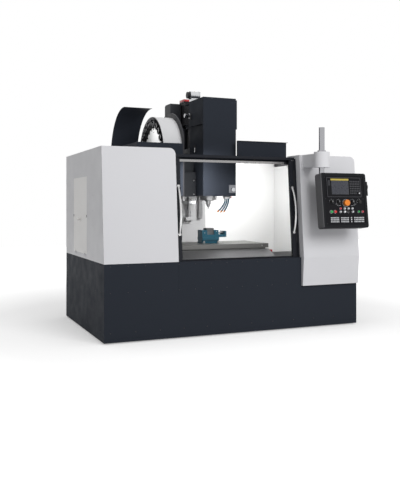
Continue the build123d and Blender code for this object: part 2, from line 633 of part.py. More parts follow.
def roof_guards():
    """Black sheet round the openings in the roof: the changer's box and arch, the right box and the front tray."""
    front = block(ATC_LEFT, GUARD_RIGHT, ATC_FRONT, ATC_FRONT + SHEET, ATC_LOW, ATC_TOP)
    side = block(ATC_LEFT, ATC_LEFT + SHEET, ATC_FRONT + SHEET, ARCH_BACK, ATC_LOW, ATC_TOP)
    side -= block(ATC_LEFT - 1, ATC_LEFT + SHEET + 1, GEARBOX_BACK, ARCH_BACK + 20, ATC_LOW - 1, LEFT_COVER_TOP - 60)
    arch = ring_x(SPINDLE_Y, MAG_Z, ARCH_RADIUS, ARCH_RADIUS - SHEET, ARCH_LEFT, POT_MOUTH_X, 0, 95)
    arch -= block(ARCH_LEFT - 1, 0, SPINDLE_Y, SPINDLE_Y + 600, MAG_Z - 10, LEFT_COVER_TOP)
    arch -= block(ATC_LEFT - RUN_GAP, ATC_LEFT + SHEET + RUN_GAP, SPINDLE_Y, SPINDLE_Y + 600, MAG_Z - 10, ATC_TOP + 1)
    lip = 14.0
    x0 = GUARD_BOX_LEFT
    x1 = GUARD_BOX_RIGHT
    y = GUARD_BOX_FRONT
    top = GUARD_BOX_TOP
    panel = block(x0, x1, y, y + SHEET, TRAY_Z + SHEET, top)
    panel += block(x0, x1 + lip, y - lip, y, top - SHEET, top)
    flank = block(x1 - SHEET, x1, y + SHEET, BACK_WALL_Y, RIGHT_COVER_TOP - SHEET, top)
    flank += block(x1, x1 + lip, y, BACK_WALL_Y, top - SHEET, top)
    tray = block(LEFT_COVER_EDGE, RIGHT_COVER_EDGE - 4, TRAY_FRONT, ATC_FRONT, TRAY_Z, TRAY_Z + SHEET)
    tray += block(GUARD_RIGHT + 20, RIGHT_COVER_EDGE - 4, ATC_FRONT, y + SHEET, TRAY_Z, TRAY_Z + SHEET)
    return [front, side, arch, panel, flank, tray]


def door_frame():
    """The black surround of the doorway in three strips, its lintel, the doors' rail and their track."""
    left = LEFT_COVER_EDGE
    right = RIGHT_COVER_EDGE
    near = SURROUND_INSET
    far = SURROUND_INSET + 4
    low = DOOR_HIGH + 5
    head = leaning(left_face, near, far, left, right, low, TRAY_Z)
    head = head & rounded_front(left, right, low, TRAY_Z, TRAY_Z - low, -100, 300)
    jambs = [leaning(left_face, near, far, left, SURROUND_LEFT, BELT_TOP, low)]
    jambs.append(leaning(left_face, near, far, SURROUND_RIGHT, right, BELT_TOP, low))
    beam_front = left_face(TRAY_Z) + far
    beam = block(left, right - 40, left_face(low + 1) + far, beam_front, low + 1, TRAY_Z)
    head += beam + block(left, right - 40, beam_front - 2, TRAY_FRONT + 60, TRAY_Z - 14, TRAY_Z)
    start = LEFT_DOOR_LEAD - DOOR_WIDTH - 10
    end = RIGHT_DOOR_LEAD + DOOR_WIDTH + 10
    rail_y = left_face(RAIL_HIGH) + DOOR_INSET + DOOR_THICK + 14
    rail = block(start, end, rail_y, rail_y + 14, RAIL_LOW, RAIL_HIGH)
    for x in (left, -310.0, 245.0, right - 38):
        rail += block(x, x + 30, rail_y + 14, rail_y + 18, RAIL_LOW, TRAY_Z - 14)
    track_front = left_face(DOOR_LOW) + DOOR_INSET - 5
    track_back = left_face(DOOR_LOW) + DOOR_INSET + DOOR_THICK + 7
    floor = DOOR_LOW - 4
    track = block(start, end, track_front - 2, track_back + 2, BELT_TOP, floor)
    track += block(start, end, track_front - 2, track_front, floor, floor + 12)
    track += block(start, end, track_back, track_back + 2, floor, floor + 12)
    return [head, rail, track] + jambs


def door(lead, side):
    """A leaning sliding door with a window opening, two rollers' carriers and a bow handle."""
    far = lead - side * DOOR_WIDTH
    x0, x1 = sorted((lead, far))
    panel = leaning(left_face, DOOR_INSET, DOOR_INSET + DOOR_THICK, x0, x1, DOOR_LOW, DOOR_HIGH)
    panel -= block(x0 + DOOR_STILE, x1 - DOOR_STILE, -100, 400, WINDOW_LOW, WINDOW_HIGH)
    rail_y = left_face(RAIL_HIGH) + DOOR_INSET + DOOR_THICK + 14
    for share in (0.15, 0.8):
        x = x0 + DOOR_WIDTH * share
        arm = block(x, x + 40, rail_y - 16, rail_y + 12, RAIL_HIGH + 9, RAIL_HIGH + 12)
        roller = rod_y(x + 20, RAIL_HIGH + RUN_GAP + 5, 5, rail_y + 1, rail_y + 11)
        panel += arm + roller
    grip_x = lead - side * HANDLE_INSET
    low = Vector(grip_x, left_face(HANDLE_LOW) + DOOR_INSET, HANDLE_LOW)
    high = Vector(grip_x, left_face(HANDLE_HIGH) + DOOR_INSET, HANDLE_HIGH)
    middle = (low + high) * 0.5 + Vector(0, -HANDLE_REACH, 0)
    path = ThreePointArc(low, middle, high)
    start = Plane(origin=path @ 0, z_dir=path % 0)
    bow = sweep(start * Circle(HANDLE_RADIUS), path)
    foot = Rot(90, 0, 0) * Cylinder(HANDLE_RADIUS + 4, 16)
    feet = Pos(*low) * foot + Pos(*high) * foot
    slab = leaning(left_face, DOOR_INSET, DOOR_INSET + DOOR_THICK + 40, x0, x1, DOOR_LOW, DOOR_HIGH)
    return panel + ((bow + feet) - slab)


def door_window(lead, side):
    """The pane in a door's opening."""
    far = lead - side * DOOR_WIDTH
    x0, x1 = sorted((lead, far))
    middle = DOOR_INSET + DOOR_THICK / 2
    return leaning(left_face, middle - WINDOW_THICK / 2, middle + WINDOW_THICK / 2,
                   x0 + DOOR_STILE, x1 - DOOR_STILE, WINDOW_LOW, WINDOW_HIGH)


# Saddle and table


def saddle():
    """The saddle casting with its four Y blocks, a screw trough and the nut of the Y screw."""
    low = BED_TOP + BLOCK_RISE
    body = block(-SADDLE_HALF, SADDLE_HALF, SADDLE_FRONT, SADDLE_BACK, low, SADDLE_TOP)
    body += block(-WING_HALF, WING_HALF, SADDLE_FRONT + 20, SADDLE_BACK - 20, WING_LOW, SADDLE_TOP)
    body += block(-WING_HALF, WING_HALF, SPINDLE_Y - 90, SPINDLE_Y + 90, WING_LOW - 25, WING_LOW)
    body -= block(-WING_HALF, WING_HALF, SPINDLE_Y - 45, SPINDLE_Y + 45, WING_LOW - 10, SADDLE_TOP)
    for x in (-WING_HALF, WING_HALF - SCREW_BOSS):
        body += block(x, x + SCREW_BOSS, SPINDLE_Y - 45, SPINDLE_Y + 45, WING_LOW - 10, SADDLE_TOP)
    body -= rod_x(SPINDLE_Y, X_SCREW_Z, JOURNAL_RADIUS + BORE_GAP, -WING_HALF, WING_HALF)
    nut = block(-45, 45, SPINDLE_Y - 70, SPINDLE_Y + 70, Y_SCREW_Z - 40, low)
    body += nut - rod_y(0, Y_SCREW_Z, SCREW_RADIUS + BORE_GAP, SPINDLE_Y - 80, SPINDLE_Y + 80)
    for x in (-Y_GUIDE_X, Y_GUIDE_X):
        for y in (SADDLE_FRONT + BLOCK_LENGTH / 2, SADDLE_BACK - BLOCK_LENGTH / 2):
            body += Pos(x, y, BED_TOP) * Rot(0, 0, 90) * guide_block()
    return body


X_RAIL_HALF = 845.0


def x_guides():
    """Two rails on the saddle for the table."""
    rails = []
    for y in (SPINDLE_Y - X_GUIDE_Y, SPINDLE_Y + X_GUIDE_Y):
        rails.append(Pos(0, y, SADDLE_TOP) * guide(2 * X_RAIL_HALF))
    return rails


def x_motor():
    """The X motor at the saddle's right end."""
    place = Pos(WING_HALF, SPINDLE_Y, X_SCREW_Z) * Rot(0, 90, 0)
    return place * motor(MOTOR_SIZE, MOTOR_LENGTH) - rod_x(SPINDLE_Y, X_SCREW_Z, JOURNAL_RADIUS + 2, WING_HALF, WING_HALF + 30)


def ball_screw_x():
    """The X screw in the saddle's bosses, with its end in the motor."""
    shaft = rod_x(SPINDLE_Y, X_SCREW_Z, JOURNAL_RADIUS, -WING_HALF, WING_HALF + 25)
    inner = WING_HALF - SCREW_BOSS - RUN_GAP
    return shaft + rod_x(SPINDLE_Y, X_SCREW_Z, SCREW_RADIUS, -inner, inner)


def front_apron():
    """The sheet under the table's front edge with its gussets, and the two wing covers beside it."""
    half = TABLE_LENGTH / 2
    top_y = SPINDLE_Y - TABLE_WIDTH / 2 - 4
    top_z = TABLE_TOP - TABLE_BAND - 10
    low = APRON_LOW - 47
    outline = [(APRON_FRONT, low), (APRON_FRONT, APRON_LOW), (top_y, top_z), (top_y, top_z - SHEET)]
    outline += [(APRON_FRONT + SHEET, APRON_LOW - SHEET), (APRON_FRONT + SHEET, low)]
    apron = prism_x(outline, -half, half)
    wing_front = SADDLE_FRONT + 20
    rise = (top_z - APRON_LOW) / (top_y - APRON_FRONT)
    for x, back in ((-half + 30, wing_front), (-200.0, SADDLE_FRONT), (200.0, SADDLE_FRONT), (half - 36, wing_front)):
        inner_top = APRON_LOW - SHEET + rise * (back - APRON_FRONT - SHEET)
        gusset = [(APRON_FRONT + SHEET, low), (APRON_FRONT + SHEET, APRON_LOW - SHEET), (back, inner_top)]
        gusset += [(back, WING_LOW + 15)]
        apron += prism_x(gusset, x, x + 6)
    covers = [apron]
    face = wing_front - 70
    shape = [(face, SADDLE_TOP + 78), (face + SHEET, SADDLE_TOP + 78), (face + SHEET, SADDLE_TOP)]
    shape += [(wing_front, SADDLE_TOP), (wing_front, SADDLE_TOP - SHEET), (face, SADDLE_TOP - SHEET)]
    covers.append(prism_x(shape, half + 6, WING_HALF))
    covers.append(prism_x(shape, -WING_HALF, -half - 6))
    return covers


def table():
    """The T-slot table with its four X blocks and the nut of the X screw."""
    half = TABLE_LENGTH / 2
    y0 = SPINDLE_Y - TABLE_WIDTH / 2
    y1 = SPINDLE_Y + TABLE_WIDTH / 2
    low = SADDLE_TOP + BLOCK_RISE
    body = block(-half, half, y0, y1, TABLE_TOP - TABLE_BAND, TABLE_TOP)
    body += block(-half + TABLE_INSET, half - TABLE_INSET, y0 + TABLE_INSET, y1 - TABLE_INSET, low, TABLE_TOP - TABLE_BAND)
    for i in range(SLOT_COUNT):
        y = SPINDLE_Y + (i - (SLOT_COUNT - 1) / 2) * SLOT_PITCH
        s = SLOT_WIDTH / 2
        slot = [(y - s, TABLE_TOP + 1), (y - s, TABLE_TOP - 18), (y - 2 * s + 2, TABLE_TOP - 18)]
        slot += [(y - 2 * s + 2, TABLE_TOP - 30), (y + 2 * s - 2, TABLE_TOP - 30), (y + 2 * s - 2, TABLE_TOP - 18)]
        slot += [(y + s, TABLE_TOP - 18), (y + s, TABLE_TOP + 1)]
        body -= prism_x(slot, -half - 1, half + 1)
    for x in (-260.0, 260.0):
        for y in (SPINDLE_Y - X_GUIDE_Y, SPINDLE_Y + X_GUIDE_Y):
            body += Pos(x, y, SADDLE_TOP) * guide_block()
    nut = block(-60, 60, SPINDLE_Y - 38, SPINDLE_Y + 38, X_SCREW_Z - 27, low)
    body += nut - rod_x(SPINDLE_Y, X_SCREW_Z, SCREW_RADIUS + BORE_GAP, -70, 70)
    return body


VISE_LEFT = -VISE_LENGTH / 2
BLOCK_LEFT = VISE_LEFT + FIXED_JAW
JAW_LEFT = BLOCK_LEFT + BLOCK_SIZE + RUN_GAP
BEAM_Z = TABLE_TOP + VISE_BASE
JAW_SEAT = BEAM_Z + VISE_BEAM
VISE_SCREW_Z = JAW_SEAT + 20.0
END_BLOCK = 20.0


def vise_body():
    """The vise's base, beam, fixed jaw and the end block that holds the screw's nut."""
    y0 = SPINDLE_Y - VISE_DEPTH / 2
    y1 = SPINDLE_Y + VISE_DEPTH / 2
    z = TABLE_TOP
    body = block(VISE_LEFT, -VISE_LEFT, y0, y1, z, BEAM_Z)
    for edge in (y0 - 1, y1 - 14):
        body -= block(VISE_LEFT - 1, -VISE_LEFT + 1, edge, edge + 15, z + 16, z + 34)
    body += block(VISE_LEFT, VISE_REACH, y0 + 8, y1 - 8, BEAM_Z, JAW_SEAT)
    body += block(VISE_LEFT, BLOCK_LEFT, y0 + 8, y1 - 8, JAW_SEAT, z + VISE_HEIGHT)
    body += block(VISE_REACH - END_BLOCK, VISE_REACH, y0 + 8, y1 - 8, JAW_SEAT, z + VISE_HEIGHT - 12)
    nut_bore = rod_x(SPINDLE_Y, VISE_SCREW_Z, VISE_SCREW + BORE_GAP, VISE_REACH - END_BLOCK - 1, VISE_REACH + 1)
    return body - nut_bore


def workpiece():
    """The gray block between the jaws."""
    y0 = SPINDLE_Y - BLOCK_DEPTH / 2
    return block(BLOCK_LEFT, BLOCK_LEFT + BLOCK_SIZE, y0, y0 + BLOCK_DEPTH, JAW_SEAT, TABLE_TOP + BLOCK_TOP)


def vise_jaw():
    """The moving jaw, which slides on the beam, with the screw's bearing bore."""
    y0 = SPINDLE_Y - VISE_DEPTH / 2 + 8
    y1 = SPINDLE_Y + VISE_DEPTH / 2 - 8
    jaw = block(JAW_LEFT, JAW_LEFT + MOVING_JAW, y0, y1, JAW_SEAT + RUN_GAP, TABLE_TOP + VISE_HEIGHT)
    bore = rod_x(SPINDLE_Y, VISE_SCREW_Z, VISE_SCREW + BORE_GAP, JAW_LEFT + 20, JAW_LEFT + MOVING_JAW + 1)
    return jaw - bore


def vise_screw():
    """The clamping screw with its hexagon end; it moves along with the jaw."""
    shaft = rod_x(SPINDLE_Y, VISE_SCREW_Z, VISE_SCREW, JAW_LEFT + 20 + RUN_GAP, VISE_REACH + 6)
    flat = RegularPolygon(16, 6)
    return shaft + Pos(VISE_REACH + 6, SPINDLE_Y, VISE_SCREW_Z) * Rot(0, 90, 0) * extrude(flat, amount=18)


# Head


def head_casting():
    """The head casting: a spindle barrel block with ribs back to its slide plate, blocks and screw nut."""
    outline = [(HEAD_FRONT, HEAD_LOW), (HEAD_FRONT + 420, HEAD_LOW), (HEAD_REAR, HEAD_BACK_LOW)]
    outline += [(HEAD_REAR, HEAD_TOP), (HEAD_FRONT, HEAD_TOP)]
    body = prism_x(outline, -HEAD_HALF, HEAD_HALF)
    body -= rod_z(0, SPINDLE_Y, QUILL_RADIUS + BORE_GAP, HEAD_LOW - 10, HEAD_TOP + 10)
    body += block(-210, 210, HEAD_REAR - 40, HEAD_REAR, HEAD_BACK_LOW, HEAD_TOP)
    for side in (-1, 1):
        for low in (HEAD_BACK_LOW + 50, HEAD_BACK_LOW + 240):
            pocket = block(-80, 80, HEAD_REAR - HEAD_POCKET, HEAD_REAR - 65, low, low + 160)
            body -= Pos(side * HEAD_HALF, 0, 0) * pocket
    for x in (-Z_GUIDE_X, Z_GUIDE_X):
        for z in (HEAD_BACK_LOW + BLOCK_LENGTH / 2, HEAD_TOP - BLOCK_LENGTH / 2):
            body += Pos(x, COLUMN_FRONT, z) * Rot(0, 90, 0) * Rot(90, 0, 0) * guide_block()
    nut_z = (HEAD_BACK_LOW + HEAD_TOP) / 2
    nut = block(-45, 45, HEAD_REAR, Z_SCREW_Y + 27, nut_z - 60, nut_z + 60)
    body += nut - rod_z(0, Z_SCREW_Y, SCREW_RADIUS + BORE_GAP, nut_z - 70, nut_z + 70)
    return body


def head_cover():
    """The sheet cover of the head, stepped in below its shoulder, open at the back and bottom."""
    cover = block(COVER_LEFT, COVER_RIGHT, COVER_FRONT, COVER_BACK, COVER_STEP, COVER_HIGH)
    cover -= block(COVER_LEFT + SHEET, COVER_RIGHT - SHEET, COVER_FRONT + SHEET, COVER_BACK - SHEET, COVER_STEP - 1, COVER_HIGH - SHEET)
    cover += block(COVER_LEFT, COVER_RIGHT, COVER_FRONT, COVER_FRONT + SHEET, COVER_LOW, COVER_STEP)
    for x0, x1, wall in ((COVER_LEFT, -HEAD_HALF, -HEAD_HALF - SHEET), (HEAD_HALF, COVER_RIGHT, HEAD_HALF)):
        cover += block(wall, wall + SHEET, COVER_FRONT + SHEET, COVER_BACK, HEAD_LOW, COVER_STEP + SHEET)
        cover += block(x0, x1, COVER_FRONT + SHEET, COVER_FRONT + 20, COVER_LOW, COVER_STEP)
        cover += block(x0 + SHEET, x1 - SHEET, COVER_FRONT + SHEET, COVER_BACK, COVER_STEP, COVER_STEP + SHEET)
    louver = block(COVER_RIGHT, COVER_RIGHT + 18, COVER_FRONT + 12, COVER_BACK - 40, COVER_STEP - 47, COVER_HIGH - 15)
    shelf = block(-150, 60, COVER_BACK, COVER_BACK + 240, COVER_HIGH - 2 * SHEET, COVER_HIGH)
    return cover + louver + shelf


def head_lamp():
    """The square lamp plate at the lower right of the head cover."""
    plate = block(112, 190, COVER_FRONT - 6, COVER_FRONT, 1425, 1511)
    return plate + rod_y(160, 1460, 22, COVER_FRONT - 14, COVER_FRONT - 6)


def spindle_housing():
    """The spindle cartridge with its nose flange, turned in one piece."""
    body = rod_z(0, SPINDLE_Y, QUILL_RADIUS, HEAD_LOW, HEAD_TOP - 60)
    body += rod_z(0, SPINDLE_Y, NOSE_FLANGE, NOSE_Z + 12, HEAD_LOW)
    body -= rod_z(0, SPINDLE_Y, 35 + BORE_GAP, NOSE_Z - 10, HEAD_TOP)
    body -= rod_z(0, SPINDLE_Y, 46, NOSE_Z + 10, NOSE_Z + 14)
    return body


def spindle():
    """The spindle shaft with its nose, and the holder with its collet nut and cutter."""
    shaft = rod_z(0, SPINDLE_Y, 35, NOSE_Z + 12, HEAD_TOP + 30)
    shaft += rod_z(0, SPINDLE_Y, 45, NOSE_Z, NOSE_Z + 12)
    groove = 6.5
    low = ARM_Z - 14
    holder = rod_z(0, SPINDLE_Y, FLANGE_RADIUS, ARM_Z + groove, NOSE_Z)
    holder += rod_z(0, SPINDLE_Y, GROOVE_RADIUS, low, NOSE_Z)
    holder += rod_z(0, SPINDLE_Y, FLANGE_RADIUS, low, ARM_Z - groove)
    cone = Pos(0, SPINDLE_Y, low - 17) * Cone(15, 25, 34)
    cutter = rod_z(0, SPINDLE_Y, 7, TOOL_TIP, low - 30)
    return [shaft, holder + cone + cutter]


def spindle_motor():
    """The spindle motor inside the cover, and the air booster on the shelf behind it."""
    low = HEAD_TOP
    body = block(-105, 105, SPINDLE_Y - 105, SPINDLE_Y + 105, low + 40, COVER_HIGH - 130)
    body += rod_z(0, SPINDLE_Y, 100, COVER_HIGH - 130, COVER_HIGH - 60)
    for x in (-95.0, 75.0):
        for y in (-95.0, 75.0):
            body += block(x, x + 20, SPINDLE_Y + y, SPINDLE_Y + y + 20, low, low + 40)
    body -= rod_z(0, SPINDLE_Y, 40, low - 1, low + 60)
    y = COVER_BACK + 160
    z = COVER_HIGH + 103
    booster = rod_x(y, z, 46, -118, -2)
    booster += rod_x(y, z, 38, -150, -118)
    booster += rod_x(y, z, 50, -14, -6)
    booster += block(-110, -20, y - 30, y + 30, COVER_HIGH, z - 30)
    return [body, booster]


def coolant_nozzles():
    """The valve block and three jointed hoses that point at the tool."""
    low = HEAD_LOW - 32
    body = block(100, 172, 604, 650, low, HEAD_LOW)
    body += rod_x(627, low + 16, 10, 172, 190)
    hoses = []
    for i in range(3):
        x = 114 + 22 * i
        top = Vector(x, 627, low)
        elbow = Vector(x - 4, 632, low - 34)
        tip = Vector(x - 48 + 6 * i, 690, low - 100 + 5 * i)
        path = FilletPolyline(top, elbow, tip, radius=24)
        hose = sweep(Plane(origin=path @ 0, z_dir=path % 0) * Circle(8), path)
        end = Plane(origin=path @ 1, z_dir=path % 1)
        hose += end * Pos(0, 0, 9) * Cone(7, 3, 18)
        hoses.append(hose)
    for hose in hoses:
        body += hose
    return body


# Tool changer


def on_magazine(index, shape):
    """A shape for the lowest pot, turned to another place of the magazine."""
    turn = Pos(0, SPINDLE_Y, MAG_Z) * Rot(360.0 / POT_COUNT * index, 0, 0) * Pos(0, -SPINDLE_Y, -MAG_Z)
    return turn * shape


PIN_X = POT_MOUTH_X + POT_LENGTH - 5.0
EAR_RADIUS = 7.0
EAR_WIDTH = 6.0
LUG_HALF = 12.0


def pot(back):
    """One tool pot, lying with its mouth to the left, with the lug of its hinge pin."""
    z = MAG_Z - POT_CIRCLE
    right = POT_MOUTH_X + POT_LENGTH
    step = right - 32
    body = rod_x(SPINDLE_Y, z, POT_RADIUS, POT_MOUTH_X, step)
    body += rod_x(SPINDLE_Y, z, POT_NECK, step, back)
    body += rod_x(SPINDLE_Y, z, POT_RADIUS - 6, POT_MOUTH_X - 8, POT_MOUTH_X)
    body -= Pos(POT_MOUTH_X + 26, SPINDLE_Y, z) * Rot(0, 90, 0) * Cone(22.5, 13, 68)
    pin_z = MAG_Z - PIN_CIRCLE
    lug = block(PIN_X - 8, back, SPINDLE_Y - LUG_HALF, SPINDLE_Y + LUG_HALF, pin_z - 8, pin_z + 20)
    return body + lug


def change_pot():
    """The pot at the change station, bored for its hinge pin and free of the disc."""
    free = pot(POT_MOUTH_X + POT_LENGTH - RUN_GAP)
    return free - rod_y(PIN_X, MAG_Z - PIN_CIRCLE, PIN_RADIUS + BORE_GAP, SPINDLE_Y - 60, SPINDLE_Y + 60)


def tool_pots():
    """The other pots of the magazine."""
    one = pot(POT_MOUTH_X + POT_LENGTH)
    return [on_magazine(i, one) for i in range(1, POT_COUNT)]


def magazine_disc():
    """The disc with its hub, the two ears of each pot and the hinge pin of the change station."""
    left = POT_MOUTH_X + POT_LENGTH
    right = left + DISC_THICK
    disc = rod_x(SPINDLE_Y, MAG_Z, PIN_CIRCLE - 15, left, right)
    disc -= ring_x(SPINDLE_Y, MAG_Z, 290, 80, left - 1, left + 15, 0, 360)
    disc += rod_x(SPINDLE_Y, MAG_Z, 60, left - 20, HUB_RIGHT)
    disc -= rod_x(SPINDLE_Y, MAG_Z, 25 + BORE_GAP, left - 30, HUB_RIGHT + 10)
    for i in range(0, POT_COUNT, 4):
        disc -= on_magazine(i + 2, rod_x(SPINDLE_Y, MAG_Z - 185, 55, left - 1, right + 1))
    ear_z = MAG_Z - PIN_CIRCLE
    gap = LUG_HALF + RUN_GAP
    ears = block(left + 2, right, SPINDLE_Y - gap, SPINDLE_Y + gap, ear_z + 14, ear_z + 25)
    for y in (SPINDLE_Y - gap - EAR_WIDTH, SPINDLE_Y + gap):
        ears += rod_y(PIN_X, ear_z, EAR_RADIUS, y, y + EAR_WIDTH)
        ears += block(PIN_X, right, y, y + EAR_WIDTH, ear_z - EAR_RADIUS, ear_z + EAR_RADIUS)
        ears += block(left + RUN_GAP, right, y, y + EAR_WIDTH, ear_z, ear_z + 25)
    for i in range(POT_COUNT):
        disc += on_magazine(i, ears)
    pin = rod_y(PIN_X, ear_z, PIN_RADIUS, SPINDLE_Y - gap - EAR_WIDTH, SPINDLE_Y + gap + EAR_WIDTH)
    return disc + pin


HUB_RIGHT = GUARD_RIGHT - 20.0


def atc_frame():
    """The dark carrier plate with the magazine's axle and the rib to the gearbox."""
    disc = rod_x(SPINDLE_Y, MAG_Z, PLATE_RADIUS, GUARD_RIGHT, GUARD_RIGHT + PLATE_THICK)
    low = block(GUARD_RIGHT, GUARD_RIGHT + PLATE_THICK, SPINDLE_Y - PLATE_RADIUS, SPINDLE_Y + PLATE_RADIUS, ATC_LOW, MAG_Z)
    plate = disc + low
    plate &= block(GUARD_RIGHT, GUARD_RIGHT + PLATE_THICK, ATC_FRONT, PLATE_BACK, ATC_LOW, MAG_Z + PLATE_RADIUS)
    axle = rod_x(SPINDLE_Y, MAG_Z, 25, POT_MOUTH_X + POT_LENGTH - 34, GUARD_RIGHT)
    axle += rod_x(SPINDLE_Y, MAG_Z, 40, POT_MOUTH_X + POT_LENGTH - 34, POT_MOUTH_X + POT_LENGTH - 20 - RUN_GAP)
    rib = block(GUARD_RIGHT + PLATE_THICK, GEARBOX_LEFT, 900, 1180, 1500, 1760)
    return [plate, axle, rib]


def magazine_guard():
    """The white band round the magazine, open at the bottom and low at the back."""
    return ring_x(SPINDLE_Y, MAG_Z, GUARD_RADIUS, GUARD_RADIUS - SHEET, POT_MOUTH_X, GUARD_RIGHT, 8, 232)


ARM_X = -ARM_RADIUS
QUILL = 40.0
ARM_DROP = 110.0


def atc_gearbox():
    """The cam gearbox of the change arm with its motor and its bracket on the column."""
    low = ATC_LOW
    body = block(GEARBOX_LEFT, GEARBOX_RIGHT, 700, GEARBOX_BACK, low, GEARBOX_TOP)
    body -= block(GEARBOX_LEFT - 1, GEARBOX_RIGHT + 1, 690, 760, 1650, 1800)
    body -= rod_z(ARM_X, SPINDLE_Y, QUILL + BORE_GAP, low - 1, low + ARM_DROP + 90)
    bracket = block(GEARBOX_LEFT + 60, -COLUMN_HALF, GEARBOX_BACK, BACK_WALL_Y - 2, 1500, GEARBOX_TOP - 50)
    bracket -= block(GEARBOX_LEFT + 59, -COLUMN_HALF - 40, 1300, BACK_WALL_Y, 1499, 1620)
    body += bracket
    body += rod_z(ARM_X, ARM_MOTOR_Y, 65, GEARBOX_TOP, GEARBOX_TOP + 170)
    body += rod_z(ARM_X, ARM_MOTOR_Y, 50, GEARBOX_TOP + 170, GEARBOX_TOP + 250)
    return body


def arm_quill():
    """The quill that drops the change arm."""
    low = ARM_Z + ARM_THICK / 2 + RUN_GAP
    sleeve = rod_z(ARM_X, SPINDLE_Y, QUILL, low, ATC_LOW + 80)
    return sleeve - rod_z(ARM_X, SPINDLE_Y, 22 + BORE_GAP, low - 1, ATC_LOW + 60)


def change_arm():
    """The twin change arm, parked across the line from the spindle to the pot, with its shaft and pads."""
    z0 = ARM_Z - ARM_THICK / 2
    z1 = ARM_Z + ARM_THICK / 2
    bore = FLANGE_RADIUS + JAW_GAP
    arm = rod_z(0, 0, 58, z0, z1)
    arm += block(-ARM_RADIUS + 45, ARM_RADIUS - 45, -34, 34, z0, z1)
    pads = []
    for turn in (0, 180):
        place = Rot(0, 0, turn) * Pos(ARM_RADIUS, 0, 0)
        arm += place * rod_z(0, 0, bore + JAW_WALL, z0, z1)
        arm -= place * rod_z(0, 0, bore, z0 - 1, z1 + 1)
        arm -= place * block(-bore - 1, bore + JAW_WALL + 1, 8, 90, z0 - 1, z1 + 1)
        grip = GROOVE_RADIUS + 2
        pocket = rod_z(0, 0, bore, ARM_Z - PAD_THICK / 2, ARM_Z + PAD_THICK / 2)
        for x0, x1, y0, y1 in ((grip, bore, -14, -2), (-bore, -grip, -14, -2), (-7, 7, -bore, -grip)):
            pads.append(place * (pocket & block(x0, x1, y0, y1, ARM_Z - 20, ARM_Z + 20)))
    shaft = rod_z(0, 0, 22, z1, ATC_LOW + 50)
    home = Pos(ARM_X, SPINDLE_Y, 0) * Rot(0, 0, ARM_PARK)
    return [home * arm, home * shaft] + [home * pad for pad in pads]


JAW_GAP = 6.0
JAW_WALL = 14.0
PAD_THICK = 9.0
ARM_PARK = -90.0


# Pendant


def in_panel(x, y, z):
    """A place on the pendant: x from its left, y behind its front, z from its bottom."""
    return Pos(PANEL_LEFT, PANEL_FRONT_Y, PANEL_LOW) * Rot(-PANEL_TILT, 0, 0) * Pos(x, y, z)


PANEL_FRONT_Y = POST_Y - PANEL_THICK / 2 - sin(radians(PANEL_TILT)) * PANEL_HEIGHT + 20.0
BUTTON_PLACES = [(213, 199), (262, 199), (308, 199), (357, 199), (211, 166), (262, 166), (308, 166), (360, 166),
                 (432, 166), (481, 166)]
START_PLACE = (100, 166)
STOP_PLACE = (146, 166)
DIAL_PLACES = [(113, 269), (195, 269), (365, 269)]
FEED_PLACE = (445, 271)
ESTOP_PLACE = (283, 256)
ESTOP_RADIUS = 31.0
ESTOP_REACH = 34.0
KEY_SPANS = [(85, 188), (208, 306), (326, 347), (367, 493)]
KEY_COUNTS = [6, 6, 1, 7]
PANEL_RECESS = 4.0
PANEL_PLATE = 4.0


def rounded_plate(x0, x1, z0, z1, y0, y1, radius):
    """A plate of the pendant with rounded corners, between two depths."""
    plate = extrude(RectangleRounded(x1 - x0, z1 - z0, radius), amount=y1 - y0)
    return in_panel((x0 + x1) / 2, y0, (z0 + z1) / 2) * Rot(90, 0, 0) * Pos(0, 0, -(y1 - y0)) * plate


def from_panel(x, z, y0, y1, radius):
    """A round piece standing on the pendant's front."""
    return in_panel(x, (y0 + y1) / 2, z) * Rot(90, 0, 0) * Cylinder(radius, y1 - y0)


def pendant_housing():
    """The pendant's housing, hollow behind its panel, with the handwheel's box on its right."""
    body = rounded_plate(0, PANEL_WIDTH, 0, PANEL_HEIGHT, 0, PANEL_THICK, 24)
    body -= rounded_plate(PANEL_MARGIN, PANEL_WIDTH - PANEL_MARGIN, PANEL_MARGIN, PANEL_HEIGHT - PANEL_MARGIN,
                          -1, PANEL_RECESS + PANEL_PLATE, 8)
    body -= rounded_plate(PANEL_MARGIN + 12, PANEL_WIDTH - PANEL_MARGIN - 12, PANEL_MARGIN + 12,
                          PANEL_HEIGHT - PANEL_MARGIN - 12, PANEL_RECESS, PANEL_THICK - 6, 8)
    box = in_panel(PANEL_WIDTH + 13, 52, 408) * Box(26, 80, 146)
    body += box
    body -= rod_z(POST_X, POST_Y, POST_RADIUS, POST_FOOT, PANEL_LOW + 2 * PANEL_HEIGHT)
    return body


POST_FOOT = PANEL_LOW + PANEL_HEIGHT - 36.0


def pendant_post():
    """The chrome post that carries the pendant and turns in the arm's boss."""
    post = rod_z(POST_X, POST_Y, POST_RADIUS, POST_FOOT, POST_TOP)
    collar = rod_z(POST_X, POST_Y, POST_RADIUS + 14, BOSS_HIGH + RUN_GAP, BOSS_HIGH + 14)
    return post + collar


